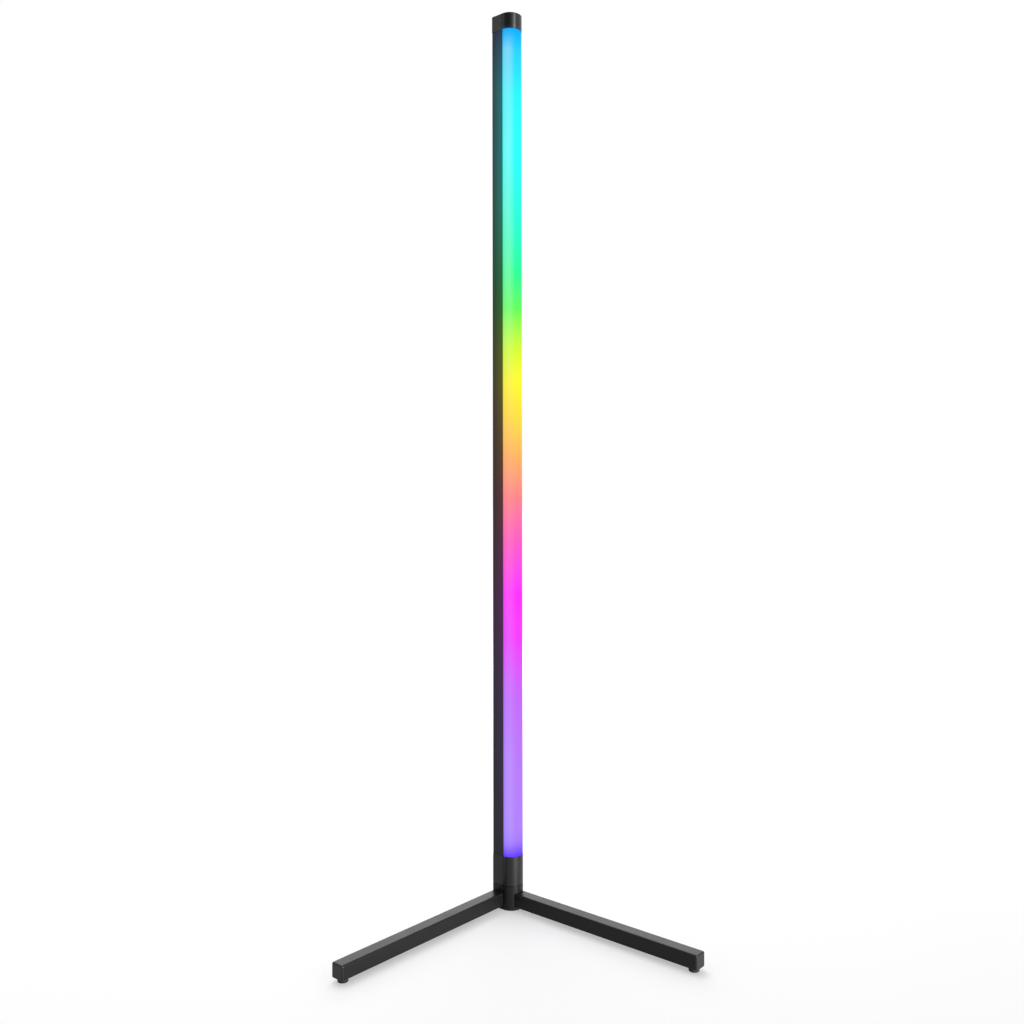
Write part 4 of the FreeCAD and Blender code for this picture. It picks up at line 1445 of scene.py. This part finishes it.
@dataclass
class BaseScrews:
    """The screws under the legs: two where each leg meets the hub, and one in each foot."""

    shop: Workshop
    hub_screw: Screw
    foot_screw: Screw
    first: float = 12.0 * MM
    spacing: float = 17.0 * MM

    def along_leg(self, side: LegSide, distance: float, height: float) -> Vector:
        """A point under a leg's axis."""
        reach = Matrix.Rotation(side.turn, 3, "Z") @ Vector((distance, 0, 0))
        return reach + Vector((self.shop.legs.axis_x, 0, height))

    def build(self) -> None:
        """Makes and places both groups."""
        shop, legs, looks = self.shop, self.shop.legs, self.shop.looks
        at_hub = [self.along_leg(side, side.start + self.first + i * self.spacing, legs.bottom)
                  for side in shop.sides for i in (0, 1)]
        in_feet = [self.along_leg(side, legs.foot_along, legs.foot_recess) for side in shop.sides]
        groups = (
            ("leg_joint_screws", self.hub_screw, at_hub, looks.black_oxide, Slot.BLACK_SCREW, "leg_screws"),
            ("foot_fixing_screws", self.foot_screw, in_feet, looks.steel, Slot.BRIGHT_STEEL, "foot_screws"))
        for name, screw, places, finish, slot, node in groups:
            part = raw_object(f"{name}_part", screw.pan())
            group = raw_object(name, loose_points(places))
            shop.copies.run(group, finish, Part=part)
            discard(part)
            shop.place(group, finish, Body.BASE, slot, node)


# ---------------- studio
@dataclass(frozen=True)
class Softbox:
    """A soft lamp: where it stands, what it points at, its width and height, and its power in watts."""

    name: str
    place: tuple[float, float, float]
    target: tuple[float, float, float]
    size: tuple[float, float]
    power: float
    lights_floor: bool = True

    def build(self, spared: bpy.types.Collection) -> None:
        """Adds it to the scene.

        Args:
            spared: holds what a lamp that doesn't light the floor leaves out.
        """
        data = bpy.data.lights.new(self.name, "AREA")
        data.shape = "RECTANGLE"
        data.size, data.size_y = self.size
        data.energy = self.power
        box = bpy.data.objects.new(self.name, data)
        box.location = self.place
        box.rotation_euler = (Vector(self.target) - Vector(self.place)).to_track_quat("-Z", "Y").to_euler()
        box.visible_camera = False
        if not self.lights_floor:
            box.light_linking.receiver_collection = spared
        bpy.context.scene.collection.objects.link(box)


@dataclass(frozen=True)
class Viewpoint:
    """The photo's camera: where it stands, how it is turned, and where its axis meets the picture."""

    place: tuple[float, float, float] = (-0.1306, -1.5168, 0.6178)
    heading: float = math.radians(3.463)
    pitch: float = math.radians(0.427)
    roll: float = math.radians(0.074)
    focal_pixels: float = 1025.3
    centre_x: float = 483.6
    centre_y: float = 481.0
    sensor: float = 36.0

    def build(self) -> None:
        """Makes the scene's camera."""
        data = bpy.data.cameras.new("photo_camera")
        data.sensor_width = self.sensor
        data.lens = self.focal_pixels * self.sensor / PHOTO_SIZE
        data.shift_x = (PHOTO_SIZE / 2 - self.centre_x) / PHOTO_SIZE
        data.shift_y = (self.centre_y - PHOTO_SIZE / 2) / PHOTO_SIZE
        camera = bpy.data.objects.new("photo_camera", data)
        flat = math.cos(self.pitch)
        ahead = Vector((math.sin(self.heading) * flat, math.cos(self.heading) * flat, math.sin(self.pitch)))
        right = Vector((math.cos(self.heading), -math.sin(self.heading), 0))
        right.rotate(Matrix.Rotation(self.roll, 3, ahead))
        turn = Matrix((right, right.cross(ahead), -ahead)).transposed()
        camera.matrix_world = Matrix.Translation(self.place) @ turn.to_4x4()
        bpy.context.scene.collection.objects.link(camera)
        bpy.context.scene.camera = camera


@dataclass
class Studio:
    """White floor, white surroundings that are dark behind the camera, soft lamps and the camera."""

    floor_size: float = 60.0
    floor_drop: float = 0.1 * MM
    floor_colour: float = 0.6
    lift_near: float = 0.42
    lift_far: float = 0.75
    lift_start: float = 0.6
    lift_end: float = 2.2
    soft_light: float = 0.6
    dark_heading: float = math.radians(-116)
    dark_start: float = 0.62
    dark_full: float = 0.88
    dark_depth: float = 0.93
    softboxes: tuple[Softbox, ...] = (
        Softbox("tall_softbox", (1.38, -1.7, 1.15), (0, 0, 1.0), (0.46, 2.2), 57.0, lights_floor=False),
        Softbox("low_softbox", (0.82, -1.02, 0.14), (0, 0, 0.06), (0.5, 0.26), 34.0, lights_floor=False),
        Softbox("rear_softbox", (0.2, 2.4, 1.25), (0, 0, 0.1), (2.6, 1.1), 20.0),
        Softbox("overhead_softbox", (-0.25, 0.9, 2.5), (0, 0, 0.2), (1.6, 1.6), 30.0))

    def seen_directly(self, graph: Graph) -> Signal:
        """1 for the camera's own rays and for what gloss or glass shows of the surroundings."""
        kinds = ("Camera", "Glossy", "Transmission")
        camera, gloss, glass = (graph.node("ShaderNodeLightPath", output=f"Is {kind} Ray") for kind in kinds)
        return camera.larger(gloss).larger(glass)

    def build_world(self) -> None:
        """White surroundings, softer as a light than as a background, with the unlit end of the room."""
        world = bpy.data.worlds.new("white_surroundings")
        world.use_nodes = True
        bpy.context.scene.world = world
        graph = Graph(world.node_tree)
        ahead = graph.node("ShaderNodeTexCoord", output="Generated")
        towards = (math.cos(self.dark_heading), math.sin(self.dark_heading), 0)
        facing = graph.node("ShaderNodeVectorMath", {0: ahead, 1: towards}, "Value", operation="DOT_PRODUCT")
        dark = facing.rise(self.dark_start, self.dark_full) * self.dark_depth
        camera = graph.node("ShaderNodeLightPath", output="Is Camera Ray")
        level = self.soft_light + self.seen_directly(graph) * (1 - self.soft_light)
        glow = {"Color": (1, 1, 1, 1), "Strength": level * (1 - dark * (1 - camera))}
        graph.node("ShaderNodeOutputWorld", {"Surface": graph.node("ShaderNodeBackground", glow)})

    def build_floor(self) -> Object:
        """White floor that keeps the lamp's soft shadow and brightens into the background."""
        half = self.floor_size / 2
        sheet = bmesh.new()
        corners = ((-half, -half), (half, -half), (half, half), (-half, half))
        sheet.faces.new([sheet.verts.new((x, y, -self.floor_drop)) for x, y in corners])
        floor = raw_object("studio_floor", sheet)
        made, graph = new_material("white_floor")
        x, y, _ = graph.own_axes()
        away = ((x * x + y * y) ** 0.5).rise(self.lift_start, self.lift_end)
        matt = graph.node("ShaderNodeBsdfDiffuse", {"Color": (*[self.floor_colour] * 3, 1)})
        glow = (self.lift_near + away * (self.lift_far - self.lift_near)) * self.seen_directly(graph)
        lift = graph.node("ShaderNodeEmission", {"Strength": glow})
        both = graph.node("ShaderNodeAddShader", {0: matt, 1: lift})
        graph.node("ShaderNodeOutputMaterial", {"Surface": both})
        made.cycles.emission_sampling = "NONE"
        floor.data.materials.append(made)
        return floor

    def build(self) -> None:
        """Builds surroundings, floor, lamps and camera."""
        self.build_world()
        spared = bpy.data.collections.new("spared_by_front_lamps")
        spared.objects.link(self.build_floor())
        spared.collection_objects[0].light_linking.link_state = "EXCLUDE"
        for softbox in self.softboxes:
            softbox.build(spared)
        Viewpoint().build()
        bpy.context.scene.view_settings.view_transform = "Standard"


# ---------------- the lamp
def dress_frame(shop: Workshop) -> None:
    """Finishes the CAD nodes that stay as they are.

    Args:
        shop: where they are dressed.
    """
    looks = shop.looks
    steel = ("housing_screws", "inlet_nut", "head_washer", "spring_washer", "swivel_bolt", "stop_pin",
             "hub_base_plate", "base_plate_screws")
    kept = ((looks.steel, steel), (looks.bearing, ("swivel_bush", "thrust_washer")),
            (looks.wire, ("inlet_wires", "strip_wires")), (looks.board, ("controller_board",)),
            (looks.electronics, ("controller_parts",)), (looks.strip, ("led_strip",)))
    for finish, nodes in kept:
        shop.dress(nodes, finish)


def main() -> None:
    """Builds the studio and the lamp's sub-assemblies in order."""
    logging.basicConfig(level=logging.INFO, format="%(name)s: %(message)s")
    Studio().build()
    shop = Workshop()
    cap_screw = Screw(shank=1.6 * MM, head=3.5 * MM, height=2.0 * MM, key=2.0 * MM, grip=39 * MM)
    hub_screw = Screw(shank=2.45 * MM, head=4.7 * MM, height=2.6 * MM, key=3.0 * MM, grip=11.95 * MM)
    foot_screw = Screw(shank=1.95 * MM, head=3.5 * MM, height=2.2 * MM, key=2.5 * MM, grip=14.15 * MM)
    parts = (ColumnShells(shop), TopCap(shop, cap_screw), LowerHousing(shop), LightRow(shop), Hub(shop),
             *(Leg(shop, side) for side in shop.sides), BaseScrews(shop, hub_screw, foot_screw))
    for part in parts:
        log.info("building %s", type(part).__name__)
        part.build()
    dress_frame(shop)


if __name__ == "__main__":
    main()
